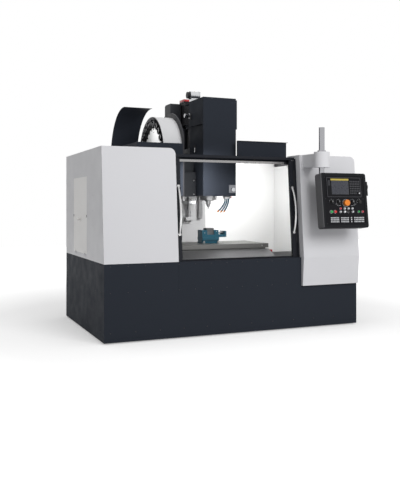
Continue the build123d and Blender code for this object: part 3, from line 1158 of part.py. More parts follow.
def pendant_panel():
    """The front panel: plate, display bezel, fixed dials, push buttons and key groups."""
    y0 = PANEL_RECESS
    y1 = PANEL_RECESS + PANEL_PLATE
    plate = rounded_plate(PANEL_MARGIN, PANEL_WIDTH - PANEL_MARGIN, PANEL_MARGIN, PANEL_HEIGHT - PANEL_MARGIN, y0, y1, 8)
    bezel = rounded_plate(64, 478, 316, 520, y0 - 5, y0, 6)
    bezel -= rounded_plate(118, 330, 345, 486, y0 - 6, y0 - 2, 3)
    plate += bezel
    for x, z in DIAL_PLACES:
        plate += from_panel(x, z, y0 - 22, y0, 17)
    for x, z in BUTTON_PLACES:
        plate += from_panel(x, z, y0 - 12, y0, 11)
    for (x0, x1), count in zip(KEY_SPANS, KEY_COUNTS):
        pitch = (x1 - x0) / count
        for row in range(3):
            for column_index in range(count):
                left = x0 + column_index * pitch
                low = 56 + row * 20
                key = in_panel(left + pitch / 2, y0 - 2, low + 8) * Box(pitch * 0.8, 4, 15)
                plate += key
    for x, z in (START_PLACE, STOP_PLACE):
        plate -= from_panel(x, z, y0 - 1, y1 + 1, 9 + RUN_GAP)
    plate -= from_panel(ESTOP_PLACE[0], ESTOP_PLACE[1], y0 - 1, y1 + 1, 12 + RUN_GAP)
    plate -= from_panel(FEED_PLACE[0], FEED_PLACE[1], y0 - 1, y1 + 1, 5 + BORE_GAP)
    return plate


def push_button(place, cap, stem, reach):
    """A push button: a cap in front of the panel and a stem through it."""
    x, z = place
    y0 = PANEL_RECESS
    button = from_panel(x, z, y0 - reach, y0 - BUTTON_TRAVEL - RUN_GAP, cap)
    return button + from_panel(x, z, y0 - BUTTON_TRAVEL - RUN_GAP, y0 + PANEL_PLATE + 12, stem)


BUTTON_TRAVEL = 4.0


def feed_dial():
    """The feed override dial on its spindle."""
    x, z = FEED_PLACE
    y0 = PANEL_RECESS
    dial = from_panel(x, z, y0 - 22, y0 - RUN_GAP, 17)
    dial += in_panel(x, y0 - 24, z + 4) * Box(5, 6, 24)
    return dial + from_panel(x, z, y0 - RUN_GAP, y0 + PANEL_PLATE + 14, 5)


WHEEL_Z = 430.0


def handwheel():
    """The pulse handwheel with its crank knob, facing right."""
    left = PANEL_WIDTH + 26 + RUN_GAP
    place = in_panel(left, 52, WHEEL_Z) * Rot(0, 90, 0)
    wheel = place * Pos(0, 0, 5) * Cylinder(36, 10)
    wheel += place * Pos(0, 0, 12) * Cylinder(12, 8)
    return wheel + place * Pos(0, 24, 13) * Cylinder(6, 10)


def pendant_arm():
    """The arm from the right cover to the boss that holds the post."""
    z0 = BOSS_LOW + 14
    z1 = BOSS_HIGH - 15
    outline = [(POST_Y, z0), (right_face(z0), z0), (right_face(z1), z1), (POST_Y, z1)]
    arm = prism_x(outline, POST_X - 60, POST_X + 60)
    arm += rod_z(POST_X, POST_Y, BOSS_RADIUS, BOSS_LOW, BOSS_HIGH)
    plate = leaning(right_face, -8, 0, POST_X - 75, POST_X + 75, z0 - 20, z1 - 2)
    return (arm + plate) - rod_z(POST_X, POST_Y, POST_RADIUS + BORE_GAP, BOSS_LOW - 1, BOSS_HIGH + 1)


# Electrical cabinet


HINGE_X = CABINET_RIGHT + 10.0
HINGE_Y = CABINET_BACK - 2.0
HINGE_RADIUS = 8.0
HINGE_HEIGHTS = [CABINET_LOW + 150, CABINET_HIGH - 210]
GLAND_X = 620.0
GLAND_RADIUS = 20.0


def electrical_cabinet():
    """The open-backed cabinet on the rear wall in five plates, with a cable gland hole and its hinge pins."""
    front = ENCLOSURE_DEPTH
    inner = front + SHEET
    wall = block(CABINET_LEFT, CABINET_RIGHT, front, inner, CABINET_LOW, CABINET_HIGH)
    left = block(CABINET_LEFT, CABINET_LEFT + SHEET, inner, CABINET_BACK, CABINET_LOW, CABINET_HIGH)
    box = block(CABINET_RIGHT - SHEET, CABINET_RIGHT, inner, CABINET_BACK, CABINET_LOW, CABINET_HIGH)
    top = block(CABINET_LEFT + SHEET, CABINET_RIGHT - SHEET, inner, CABINET_BACK, CABINET_HIGH - SHEET, CABINET_HIGH)
    floor = block(CABINET_LEFT + SHEET, CABINET_RIGHT - SHEET, inner, CABINET_BACK, CABINET_LOW, CABINET_LOW + SHEET)
    floor -= rod_z(GLAND_X, front + 200, GLAND_RADIUS, CABINET_LOW - 1, CABINET_LOW + SHEET + 1)
    for low in HINGE_HEIGHTS:
        lug = block(CABINET_RIGHT, HINGE_X + HINGE_RADIUS, HINGE_Y - 8, HINGE_Y + 2, low - 8, low)
        lug += rod_z(HINGE_X, HINGE_Y, HINGE_RADIUS, low - 8, low)
        box += lug + rod_z(HINGE_X, HINGE_Y, 4, low, low + 56)
    return [wall, left, box, top, floor]


def cabinet_door():
    """The cabinet's door with folded edges, hinge sleeves, louvers and the main switch."""
    y0 = CABINET_BACK + RUN_GAP
    y1 = y0 + CABINET_DOOR
    x0 = CABINET_LEFT
    x1 = CABINET_RIGHT - 2
    face = y1 - SHEET
    door_leaf = block(x0, x1, face, y1, CABINET_LOW, CABINET_HIGH)
    door_leaf += block(x1 - SHEET, x1, y0, face, CABINET_LOW, CABINET_HIGH)
    edges = [block(x0, x0 + SHEET, y0, face, CABINET_LOW, CABINET_HIGH)]
    for z in (CABINET_LOW, CABINET_HIGH - SHEET):
        edges.append(block(x0 + SHEET, x1 - SHEET, y0, face, z, z + SHEET))
    for i in range(8):
        z = CABINET_HIGH - 330 + i * 26
        door_leaf += block(x0 + 250, x1 - 250, y1, y1 + 6, z, z + 12)
    for low in HINGE_HEIGHTS:
        sleeve = rod_z(HINGE_X, HINGE_Y, HINGE_RADIUS, low + RUN_GAP, low + 50)
        sleeve += block(x1 - 6, HINGE_X, y0 + 2, y0 + 8, low + RUN_GAP, low + 50)
        sleeve -= rod_z(HINGE_X, HINGE_Y, 4 + BORE_GAP, low - 1, low + 60)
        door_leaf += sleeve
    switch_z = CABINET_HIGH - 430
    door_leaf += block(x0 + 70, x0 + 150, y1, y1 + 6, switch_z - 40, switch_z + 40)
    door_leaf += rod_y(x0 + 110, switch_z, 26, y1, y1 + 22)
    door_leaf += block(x0 + 102, x0 + 118, y1 + 22, y1 + KNOB_REACH, switch_z - 24, switch_z + 24)
    return [door_leaf] + edges


ESTOP_FRONT = (PANEL_RECESS - ESTOP_REACH) * cos(radians(PANEL_TILT))
ESTOP_FRONT += (ESTOP_PLACE[1] - ESTOP_RADIUS) * sin(radians(PANEL_TILT))
FRONT_REACH = PANEL_FRONT_Y + min(0.0, ESTOP_FRONT)
BACK_REACH = CABINET_BACK + RUN_GAP + CABINET_DOOR + KNOB_REACH
ORIGIN_X = -HATCH_KNOB / 2
ORIGIN_Y = (FRONT_REACH + BACK_REACH) / 2


def write(name, shape):
    """Move a node to the final frame and write its file."""
    pieces = shape if isinstance(shape, list) else [shape]
    solids = [solid for piece in pieces for solid in piece.solids()]
    moved = [Pos(-ORIGIN_X, -ORIGIN_Y, 0) * solid for solid in solids]
    export_step(Compound(children=moved) if len(moved) > 1 else moved[0], f"parts/{name}.step")


def main():
    os.makedirs("parts", exist_ok=True)
    nodes = {
        "leveling_pads": leveling_pads(),
        "bed": bed(),
        "column": column(),
        "base_guides": base_guides(),
        "axis_motors": axis_motors(),
        "ball_screw_y": ball_screw_y(),
        "ball_screw_z": ball_screw_z(),
        "chip_pan": chip_pan(),
        "coolant_unit": coolant_unit(),
        "lower_skirt": lower_skirt(),
        "front_belt": front_belt(),
        "left_cover": left_cover(),
        "left_side_panel": left_side_panel(),
        "side_pane": side_pane(),
        "side_hatch": side_hatch(),
        "right_cover": right_cover(),
        "outer_panels": outer_panels(),
        "inner_walls": inner_walls(),
        "roof_guards": roof_guards(),
        "door_frame": door_frame(),
        "left_door": door(LEFT_DOOR_LEAD, 1),
        "left_window": door_window(LEFT_DOOR_LEAD, 1),
        "right_door": door(RIGHT_DOOR_LEAD, -1),
        "right_window": door_window(RIGHT_DOOR_LEAD, -1),
        "saddle": saddle(),
        "x_guides": x_guides(),
        "x_motor": x_motor(),
        "ball_screw_x": ball_screw_x(),
        "front_apron": front_apron(),
        "table": table(),
        "vise_body": vise_body(),
        "vise_jaw": vise_jaw(),
        "vise_screw": vise_screw(),
        "workpiece": workpiece(),
        "head_casting": head_casting(),
        "head_cover": head_cover(),
        "head_lamp": head_lamp(),
        "spindle_housing": spindle_housing(),
        "spindle": spindle(),
        "spindle_motor": spindle_motor(),
        "coolant_nozzles": coolant_nozzles(),
        "atc_frame": atc_frame(),
        "magazine_disc": magazine_disc(),
        "tool_pots": tool_pots(),
        "change_pot": change_pot(),
        "magazine_guard": magazine_guard(),
        "atc_gearbox": atc_gearbox(),
        "arm_quill": arm_quill(),
        "change_arm": change_arm(),
        "pendant_arm": pendant_arm(),
        "pendant_post": pendant_post(),
        "pendant_housing": pendant_housing(),
        "pendant_panel": pendant_panel(),
        "emergency_stop": push_button(ESTOP_PLACE, ESTOP_RADIUS, 12, ESTOP_REACH),
        "start_button": push_button(START_PLACE, 13, 9, 15),
        "stop_button": push_button(STOP_PLACE, 13, 9, 15),
        "feed_dial": feed_dial(),
        "handwheel": handwheel(),
        "electrical_cabinet": electrical_cabinet(),
        "cabinet_door": cabinet_door(),
    }
    for name, shape in nodes.items():
        write(name, shape)
    print(len(nodes), "nodes; origin at Y", ORIGIN_Y)


main()
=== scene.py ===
import json
import math

import bmesh
import bpy
from mathutils import Matrix, Vector

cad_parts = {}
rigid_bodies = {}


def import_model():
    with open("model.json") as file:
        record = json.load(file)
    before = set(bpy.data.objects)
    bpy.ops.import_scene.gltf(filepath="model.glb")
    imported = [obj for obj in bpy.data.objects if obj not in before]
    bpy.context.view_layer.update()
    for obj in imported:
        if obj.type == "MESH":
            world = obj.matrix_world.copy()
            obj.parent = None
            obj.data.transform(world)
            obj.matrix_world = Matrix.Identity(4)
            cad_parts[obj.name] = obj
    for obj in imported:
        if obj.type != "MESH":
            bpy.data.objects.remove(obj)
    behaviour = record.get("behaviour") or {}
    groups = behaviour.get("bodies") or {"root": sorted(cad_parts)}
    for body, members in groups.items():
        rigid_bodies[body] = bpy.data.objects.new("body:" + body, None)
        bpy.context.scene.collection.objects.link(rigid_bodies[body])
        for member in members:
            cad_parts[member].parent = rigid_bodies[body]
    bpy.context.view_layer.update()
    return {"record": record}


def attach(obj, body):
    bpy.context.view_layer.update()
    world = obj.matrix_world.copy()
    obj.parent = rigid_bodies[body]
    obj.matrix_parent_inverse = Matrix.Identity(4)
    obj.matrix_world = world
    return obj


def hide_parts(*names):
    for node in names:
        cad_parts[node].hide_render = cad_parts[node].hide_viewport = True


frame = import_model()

# part.py models about the spindle's plane and the belt's front, and then moves everything by this much.
SHIFT = Vector((0.015, -0.919544, 0.0))

# Sizes and places of the CAD's pieces, in part.py's modelling millimetres.
HALF = 1400.0  # the enclosure's sides stand at -HALF and HALF
REAR = 1745.0
BELT_TOP = 744.0
LEFT_COVER_TOP = 1852.0
COVER_LEAN = 97.0  # how far back the left cover's front leans between the belt and its top
DOORS = (("left", -605.0, 1), ("right", 635.0, -1))  # name, leading edge, which way it closes
DOOR_WIDTH = 705.0
DOOR_INSET = 45.0  # from the left cover's face to the doors' face
DOOR_THICK = 30.0
DOOR_STILE = 60.0
WINDOW_LOW, WINDOW_HIGH = 900.0, 1660.0
HANDLE_LOW, HANDLE_HIGH = 1008.0, 1480.0
HANDLE_INSET = 24.0
RAIL_LOW, RAIL_HIGH = 1728.0, 1752.0
SPINDLE_Y = 830.0
NOSE_FACE = 1352.0  # underside of the spindle's flange
COVER_LEFT, COVER_FRONT, COVER_HIGH = -190.0, 520.0, 2450.0  # the head's cover
LAMP_X, LAMP_FACE, LAMP_Z = 160.0, 514.0, 1460.0
TABLE_TOP = 870.0
COLUMN_FRONT = 1450.0
GUIDE_X, GUIDE_HEIGHT = 150.0, 38.0  # the column's guides
APRON_FRONT = 370.0
MAG_Z = 1822.0
POT_COUNT = 24
POT_CIRCLE = 350.0
ATC_LEFT, ATC_FRONT = -963.0, 395.0
ARM_X, ARM_MOTOR_Y = -305.0, 1130.0
GUARD_BOX_LEFT, GUARD_BOX_FRONT, GUARD_BOX_TOP = 225.0, 430.0, 1986.0
SHEET = 3.0
TANK_TOP = 400.0
CABINET_FACE = 2165.5
PANEL_LEFT, PANEL_FRONT, PANEL_LOW = 760.0, -353.856, 1061.0
PANEL_TILT = 7.0
# Below this height the column's front is coloured pale, partly painted light; above it, its guides and Z screw
# are coloured dark: painted shade.
UNLIT = 1400.0  # the work light reaches the column up to this height


def at(x, y, z):
    """A place given in part.py's modelling millimetres, in metres of the frame."""
    return Vector((x / 1000, y / 1000, z / 1000)) + SHIFT


# Materials

NOISE_MIDDLE = (0.3, 0.7)  # most of a noise's values lie between these


class Tree:
    """A node tree, built a few nodes at a time."""

    def __init__(self, tree):
        self.tree = tree

    def add(self, kind, **values):
        node = self.tree.nodes.new(kind)
        for key, value in values.items():
            setattr(node, key, value)
        return node

    def link(self, source, target):
        self.tree.links.new(source, target)

    def math(self, operation, first, second):
        """A value from two others, each a socket or a number."""
        node = self.add("ShaderNodeMath", operation=operation)
        for value, target in zip((first, second), node.inputs):
            if isinstance(value, (int, float)):
                target.default_value = value
            else:
                self.link(value, target)
        return node.outputs[0]

    def remap(self, source, low, high, start=0.0, end=1.0):
        """low to high, as the source goes from start to end."""
        node = self.add("ShaderNodeMapRange")
        for name, value in (("From Min", start), ("From Max", end), ("To Min", low), ("To Max", high)):
            node.inputs[name].default_value = value
        self.link(source, node.inputs["Value"])
        return node.outputs["Result"]

    def seen(self):
        """1 for rays that show a thing, straight, mirrored or through glass, and 0 for the light it sheds."""
        rays = self.add("ShaderNodeLightPath").outputs
        straight = self.math("MAXIMUM", rays["Is Camera Ray"], rays["Is Glossy Ray"])
        return self.math("MAXIMUM", straight, rays["Is Transmission Ray"])


class Nodes(Tree):
    """A material's node tree. Its coordinates are the frame's, in metres."""

    def __init__(self, name):
        self.material = bpy.data.materials.new(name)
        self.material.use_nodes = True
        super().__init__(self.material.node_tree)
        self.shader = self.tree.nodes["Principled BSDF"]
        self.coords = self.add("ShaderNodeTexCoord").outputs["Object"]

    def put(self, name, value):
        self.shader.inputs[name].default_value = value

    def noise(self, scale, detail=3.0, rough=0.55, stretch=None):
        source = self.coords
        if stretch:
            mapping = self.add("ShaderNodeMapping")
            mapping.inputs["Scale"].default_value = stretch
            self.link(source, mapping.inputs["Vector"])
            source = mapping.outputs["Vector"]
        node = self.add("ShaderNodeTexNoise")
        for name, value in (("Scale", scale), ("Detail", detail), ("Roughness", rough)):
            node.inputs[name].default_value = value
        self.link(source, node.inputs["Vector"])
        return node.outputs["Fac"]

    def ramp(self, source, *stops):
        """Gray levels, each given with its place along the source's values."""
        node = self.add("ShaderNodeValToRGB")
        ramp = node.color_ramp
        while len(ramp.elements) < len(stops):
            ramp.elements.new(0.5)
        for element, (place, level) in zip(ramp.elements, stops):
            element.position = place
            element.color = (level, level, level, 1.0)
        self.link(source, node.inputs["Fac"])
        return node.outputs["Color"]

    def mix(self, share, first, second):
        """A colour between two, each a socket or an (r, g, b)."""
        node = self.add("ShaderNodeMix", data_type="RGBA")
        self.link(share, node.inputs[0])
        for value, index in ((first, 6), (second, 7)):
            if isinstance(value, tuple):
                node.inputs[index].default_value = (*value, 1.0)
            else:
                self.link(value, node.inputs[index])
        return node.outputs[2]

    def vary(self, source, colour, low, high):
        """A colour that goes from low to high times its strength with the source."""
        return self.mix(source, shade(colour, low), shade(colour, high))

    def axis(self, letter):
        split = self.add("ShaderNodeSeparateXYZ")
        self.link(self.coords, split.inputs[0])
        return split.outputs[letter]

    def above(self, letter, limit):
        """1 beyond a limit along an axis, given in part.py's millimetres."""
        return self.math("GREATER_THAN", self.axis(letter), limit / 1000 + SHIFT["XYZ".index(letter)])

    def below(self, letter, limit):
        return self.math("LESS_THAN", self.axis(letter), limit / 1000 + SHIFT["XYZ".index(letter)])

    def both(self, first, second):
        return self.math("MULTIPLY", first, second)

    def done(self, tone, rough, height, strength, distance):
        """Link the colour, the roughness and a bump, and give the material."""
        bump = self.add("ShaderNodeBump")
        bump.inputs["Strength"].default_value = strength
        bump.inputs["Distance"].default_value = distance
        self.link(height, bump.inputs["Height"])
        self.link(tone, self.shader.inputs["Base Color"])
        self.link(rough, self.shader.inputs["Roughness"])
        self.link(bump.outputs["Normal"], self.shader.inputs["Normal"])
        return self.material


def shade(colour, factor):
    return tuple(min(1.0, c * factor) for c in colour)


def enamel(name, colour, rough=0.38, spread=0.03, peel=0.10, coat=0.0, shine=0.5, area=None, bright=False):
    """Powder-coated or enamelled sheet: orange peel, faint mottling and handling marks.

    area is (a function that gives a mask, the colour there): a handle, a rail or a barrel of its own colour, or
    painted light on the pendant's side; bright makes that area polished metal.
    """
    n = Nodes(name)
    broad = n.noise(1.6, 4.0)
    tone = n.vary(broad, colour, 1 - spread, 1 + spread)
    marks = n.ramp(n.noise(22.0), (0.0, 0.0), (0.66, 0.0), (0.80, 1.0))
    tone = n.mix(n.math("MULTIPLY", marks, 0.10), tone, shade(colour, 0.72))
    gloss = n.remap(n.noise(7.0, 4.0), rough - 0.06, rough + 0.10, *NOISE_MIDDLE)
    if area:
        mask = area[0](n)
        tone = n.mix(mask, tone, n.vary(broad, area[1], 0.95, 1.05))
        if bright:
            n.link(mask, n.shader.inputs["Metallic"])
            gloss = n.math("SUBTRACT", gloss, n.math("MULTIPLY", mask, 0.18))
    n.put("Coat Weight", coat)
    n.put("Coat Roughness", 0.15)
    n.put("Specular IOR Level", shine)
    return n.done(tone, gloss, n.noise(420.0, 2.0), peel, 0.0006)


def casting(name, colour, rough=0.5, area=None):
    """An enamelled iron casting: a coarse skin under thick paint. area is as in enamel."""
    n = Nodes(name)
    skin = n.noise(70.0, 5.0, 0.6)
    tone = n.vary(n.noise(3.0, 4.0), colour, 0.93, 1.05)
    pits = n.math("MULTIPLY", n.ramp(skin, (0.0, 1.0), (0.42, 0.0)), 0.25)
    tone = n.mix(pits, tone, shade(colour, 0.7))
    if area:
        tone = n.mix(area[0](n), tone, n.vary(skin, area[1], 0.94, 1.04))
    n.put("Specular IOR Level", 0.25)
    return n.done(tone, n.remap(skin, rough - 0.06, rough + 0.12, *NOISE_MIDDLE), skin, 0.16, 0.0015)


def metal(name, colour, rough=0.3, stretch=(1.0, 1.0, 40.0), scale=30.0, depth=0.06, area=None):
    """Ground, turned or brushed metal; the scratches run along the axis that is stretched least.

    area is (a function that gives a mask, the colour there), where the metal is covered: with paint, or with
    painted shade.
    """
    n = Nodes(name)
    lines = n.noise(scale, 4.0, 0.6, stretch)
    tone = n.vary(lines, colour, 0.88, 1.08)
    stains = n.math("MULTIPLY", n.ramp(n.noise(5.0, 5.0), (0.45, 0.0), (0.7, 1.0)), 0.2)
    tone = n.mix(stains, tone, shade(colour, 0.7))
    n.put("Metallic", 1.0)
    if area:
        mask = area[0](n)
        tone = n.mix(mask, tone, n.vary(lines, area[1], 0.96, 1.04))
        n.link(n.math("SUBTRACT", 1.0, mask), n.shader.inputs["Metallic"])
    return n.done(tone, n.remap(lines, rough - 0.08, rough + 0.12, *NOISE_MIDDLE), lines, depth, 0.0006)


def plastic(name, colour, rough=0.45, grain=0.08, spread=0.04, shine=0.5):
    """Moulded plastic or rubber with a fine grain."""
    n = Nodes(name)
    tone = n.vary(n.noise(14.0), colour, 1 - spread, 1 + spread)
    gloss = n.remap(n.noise(60.0), rough - 0.05, rough + 0.08, *NOISE_MIDDLE)
    n.put("Specular IOR Level", shine)
    return n.done(tone, gloss, n.noise(900.0, 2.0), grain, 0.0004)


def pane_glass():
    """Clear laminated safety glass, seen as a thin pane with a faint gray tint and a film of mist."""
    n = Nodes("pane_glass")
    n.put("Base Color", (0.80, 0.85, 0.85, 1.0))
    n.put("Alpha", 0.22)
    n.put("IOR", 1.5)
    n.link(n.remap(n.noise(5.0, 5.0), 0.03, 0.14, *NOISE_MIDDLE), n.shader.inputs["Roughness"])
    return n.material


def before_door(n):
    """What stands in front of a door's leaning face: its handle."""
    slope = COVER_LEAN / (LEFT_COVER_TOP - BELT_TOP)
    lean = n.math("MULTIPLY", n.math("SUBTRACT", n.axis("Z"), BELT_TOP / 1000), slope)
    return n.math("LESS_THAN", n.math("SUBTRACT", n.axis("Y"), lean), (DOOR_INSET - 2) / 1000 + SHIFT.y)


def booster_body(n):
    """The air booster's bright barrel over the head's cover, without its dark end."""
    return n.both(n.above("Z", COVER_HIGH), n.above("X", -117.5))


def door_rail(n):
    """The doors' ground rail above the doorway."""
    high = n.both(n.above("Z", RAIL_LOW - 0.5), n.below("Z", RAIL_HIGH + 0.5))
    return n.both(high, n.both(n.above("Y", 176.5), n.below("X", 600)))


def housing_side_painted_light(n):
    """The pendant housing's left side, coloured lighter: painted light, as if it caught the light."""
    return n.below("X", PANEL_LEFT + 6)


def column_foot_pale_and_painted_light(n):
    """The column's lower front, coloured pale: paint as on a pale guard, and painted light, ending where the
    work light stops.
    """
    return n.both(n.below("Y", COLUMN_FRONT + 1.5), n.below("Z", UNLIT))


def painted_shade_above_work_light(n):
    """Painted shade: what stands above the work light is coloured dark, as the column's shade falls there."""
    return n.above("Z", UNLIT)


def table_sides_paint_and_shade(n):
    """All but the table's ground top, coloured darker: paint on the sides, and painted shade so the top reads as
    lit.
    """
    return n.below("Z", TABLE_TOP - 0.5)


BLACK = (0.0255, 0.0295, 0.038)
NEAR_BLACK = (0.012, 0.012, 0.014)
DOOR_BLACK = (0.012, 0.013, 0.017)
LIGHT = (0.62, 0.62, 0.64)
STEEL = (0.60, 0.60, 0.61)
FREE = (1.0, 1.0, 1.0)  # no direction in a metal's scratches
MATERIALS = {
    # The finishes that the record's material slots name
    "black_enamel": enamel("black_enamel", BLACK, 0.5, shine=0.02),
    "light_enamel": enamel("light_enamel", LIGHT, 0.42, spread=0.015),
    "cream_enamel": enamel("cream_enamel", (0.90, 0.89, 0.87), 0.45, spread=0.01),
    "liner_white": enamel("liner_white", (0.84, 0.84, 0.83), 0.4, spread=0.01),
    "casting_gray": casting("casting_gray", (0.030, 0.032, 0.038)),
    "bed_gray": casting("bed_gray", (0.08, 0.08, 0.09)),
    "steel": metal("steel", STEEL, 0.28),
    "sheet_steel": metal("sheet_steel", (0.50, 0.50, 0.51), 0.46, (1.0, 40.0, 40.0), scale=12.0, depth=0.03),
    # The table: ground steel on top; its sides darker, as paint and as painted shade.
    "table_iron": metal("table_iron", (0.44, 0.44, 0.42), 0.46, (1.0, 30.0, 30.0), scale=20.0, depth=0.05,
                        area=(table_sides_paint_and_shade, (0.13, 0.13, 0.125))),
    "foot_iron": casting("foot_iron", (0.06, 0.06, 0.06)),
    "motor_black": enamel("motor_black", NEAR_BLACK, 0.5, spread=0.1, shine=0.3),
    "door_black": enamel("door_black", DOOR_BLACK, 0.44, spread=0.05, shine=0.2,
                         area=(before_door, (0.66, 0.66, 0.66)), bright=True),
    "window_glass": pane_glass(),
    "vise_teal": enamel("vise_teal", (0.006, 0.066, 0.102), 0.4, spread=0.28, peel=0.2),
    "block_gray": metal("block_gray", (0.20, 0.205, 0.21), 0.5, (1.0, 60.0, 1.0), scale=40.0, depth=0.1),
    "lamp_white": plastic("lamp_white", (0.16, 0.165, 0.18)),
    "nozzle_plastic": plastic("nozzle_plastic", (0.03, 0.22, 0.26), 0.35),
    "pot_black": plastic("pot_black", NEAR_BLACK, shine=0.3),
    "disc_white": enamel("disc_white", (0.93, 0.93, 0.93), 0.4, spread=0.02),
    "plate_dark": enamel("plate_dark", (0.022, 0.022, 0.026), 0.5, spread=0.06, shine=0.3),
    "arm_steel": enamel("arm_steel", (0.42, 0.43, 0.44), 0.4, spread=0.04),
    # The pendant housing: near black, with its left side lighter as painted light.
    "pendant_gray": enamel("pendant_gray", (0.007, 0.0075, 0.009), 0.5, spread=0.06, shine=0.15,
                           area=(housing_side_painted_light, (0.12, 0.12, 0.125))),
    "panel_gray": plastic("panel_gray", (0.006, 0.006, 0.0075), 0.5, grain=0.05, shine=0.12),
    "chrome": metal("chrome", (0.42, 0.42, 0.44), 0.16, scale=20.0, depth=0.01),
    "stop_orange": plastic("stop_orange", (0.72, 0.20, 0.015), 0.35),
    "button_green": plastic("button_green", (0.02, 0.33, 0.07), 0.3),
    "button_red": plastic("button_red", (0.55, 0.02, 0.02), 0.3),
    "dial_black": plastic("dial_black", (0.012, 0.012, 0.012), 0.4),
    "tank_gray": enamel("tank_gray", (0.17, 0.18, 0.19), 0.45, spread=0.05),
    # The finishes of details alone
    "screen": plastic("screen", (0.036, 0.038, 0.048), 0.28, grain=0.01, spread=0.2, shine=0.35),
    "bezel_gray": plastic("bezel_gray", (0.085, 0.087, 0.096), 0.5, grain=0.06, shine=0.3),
    "bar_yellow": plastic("bar_yellow", (0.42, 0.33, 0.06)),
    "dot_white": plastic("dot_white", (0.75, 0.76, 0.78), 0.25),
    "key_gray": plastic("key_gray", (0.52, 0.53, 0.55), 0.5),
    "key_dark": plastic("key_dark", (0.050, 0.051, 0.056), 0.5, shine=0.3),
    "mark_white": plastic("mark_white", (0.50, 0.51, 0.52), 0.5),
    "lens_red": plastic("lens_red", (0.50, 0.045, 0.07), 0.2, grain=0.02),
    "lens_white": plastic("lens_white", (0.45, 0.46, 0.48), 0.2, grain=0.02),
    "rubber": plastic("rubber", (0.015, 0.015, 0.016), 0.65, grain=0.12),
    "dark_screw": metal("dark_screw", (0.06, 0.06, 0.065), 0.4, FREE, scale=200.0, depth=0.05),
    "brass": metal("brass", (0.62, 0.46, 0.20), 0.3, (1.0, 1.0, 20.0), scale=60.0, depth=0.03),
    # shadow: a near black that puts painted shade in slots and pockets.
    "shadow": plastic("shadow", (0.006, 0.006, 0.007), 0.7),
    "hose_teal": plastic("hose_teal", (0.006, 0.070, 0.115), 0.35, grain=0.03),
    "tip_orange": plastic("tip_orange", (0.72, 0.24, 0.03), 0.3, grain=0.03),
    "valve_red": plastic("valve_red", (0.50, 0.05, 0.06), 0.35, grain=0.03),
    "cap_red": enamel("cap_red", (0.52, 0.03, 0.035), 0.35, spread=0.05, coat=0.3),
}
# Nodes that look different from the rest of their slot
# The guides and the Z screw: steel below the work light, and dark above it as painted shade.
STEEL_WITH_PAINTED_SHADE = metal("steel_with_painted_shade", STEEL, 0.28, area=(painted_shade_above_work_light, (0.03, 0.03, 0.034)))
OWN = {
    "ball_screw_z": STEEL_WITH_PAINTED_SHADE,
    "base_guides": STEEL_WITH_PAINTED_SHADE,
    "magazine_guard": enamel("guard_white", (0.52, 0.52, 0.53), 0.42, spread=0.015),
    # The column: dark paint, with its lower front pale, partly paint and partly painted light.
    "column": casting("column_paint_and_painted_light", (0.022, 0.023, 0.027), area=(column_foot_pale_and_painted_light, (0.46, 0.46, 0.465))),
    "atc_gearbox": casting("changer_paint", (0.010, 0.011, 0.013)),
    "door_frame": enamel("frame_black", DOOR_BLACK, 0.42, spread=0.04, shine=0.15,
                         area=(door_rail, (0.34, 0.335, 0.335)), bright=True),
    "spindle_motor": enamel("booster_silver", NEAR_BLACK, 0.5, spread=0.1, shine=0.3,
                            area=(booster_body, (0.66, 0.67, 0.68)), bright=True),
}

for entry in frame["record"]["subparts"]:
    node = bpy.data.objects[entry["node"]]
    node.data.materials.clear()
    node.data.materials.append(OWN.get(entry["node"], MATERIALS[entry["material_slot"]]))


# Meshes

FORWARD, BACKWARD = (0, -1, 0), (0, 1, 0)
LEFT, RIGHT = (-1, 0, 0), (1, 0, 0)
UP, DOWN = (0, 0, 1), (0, 0, -1)


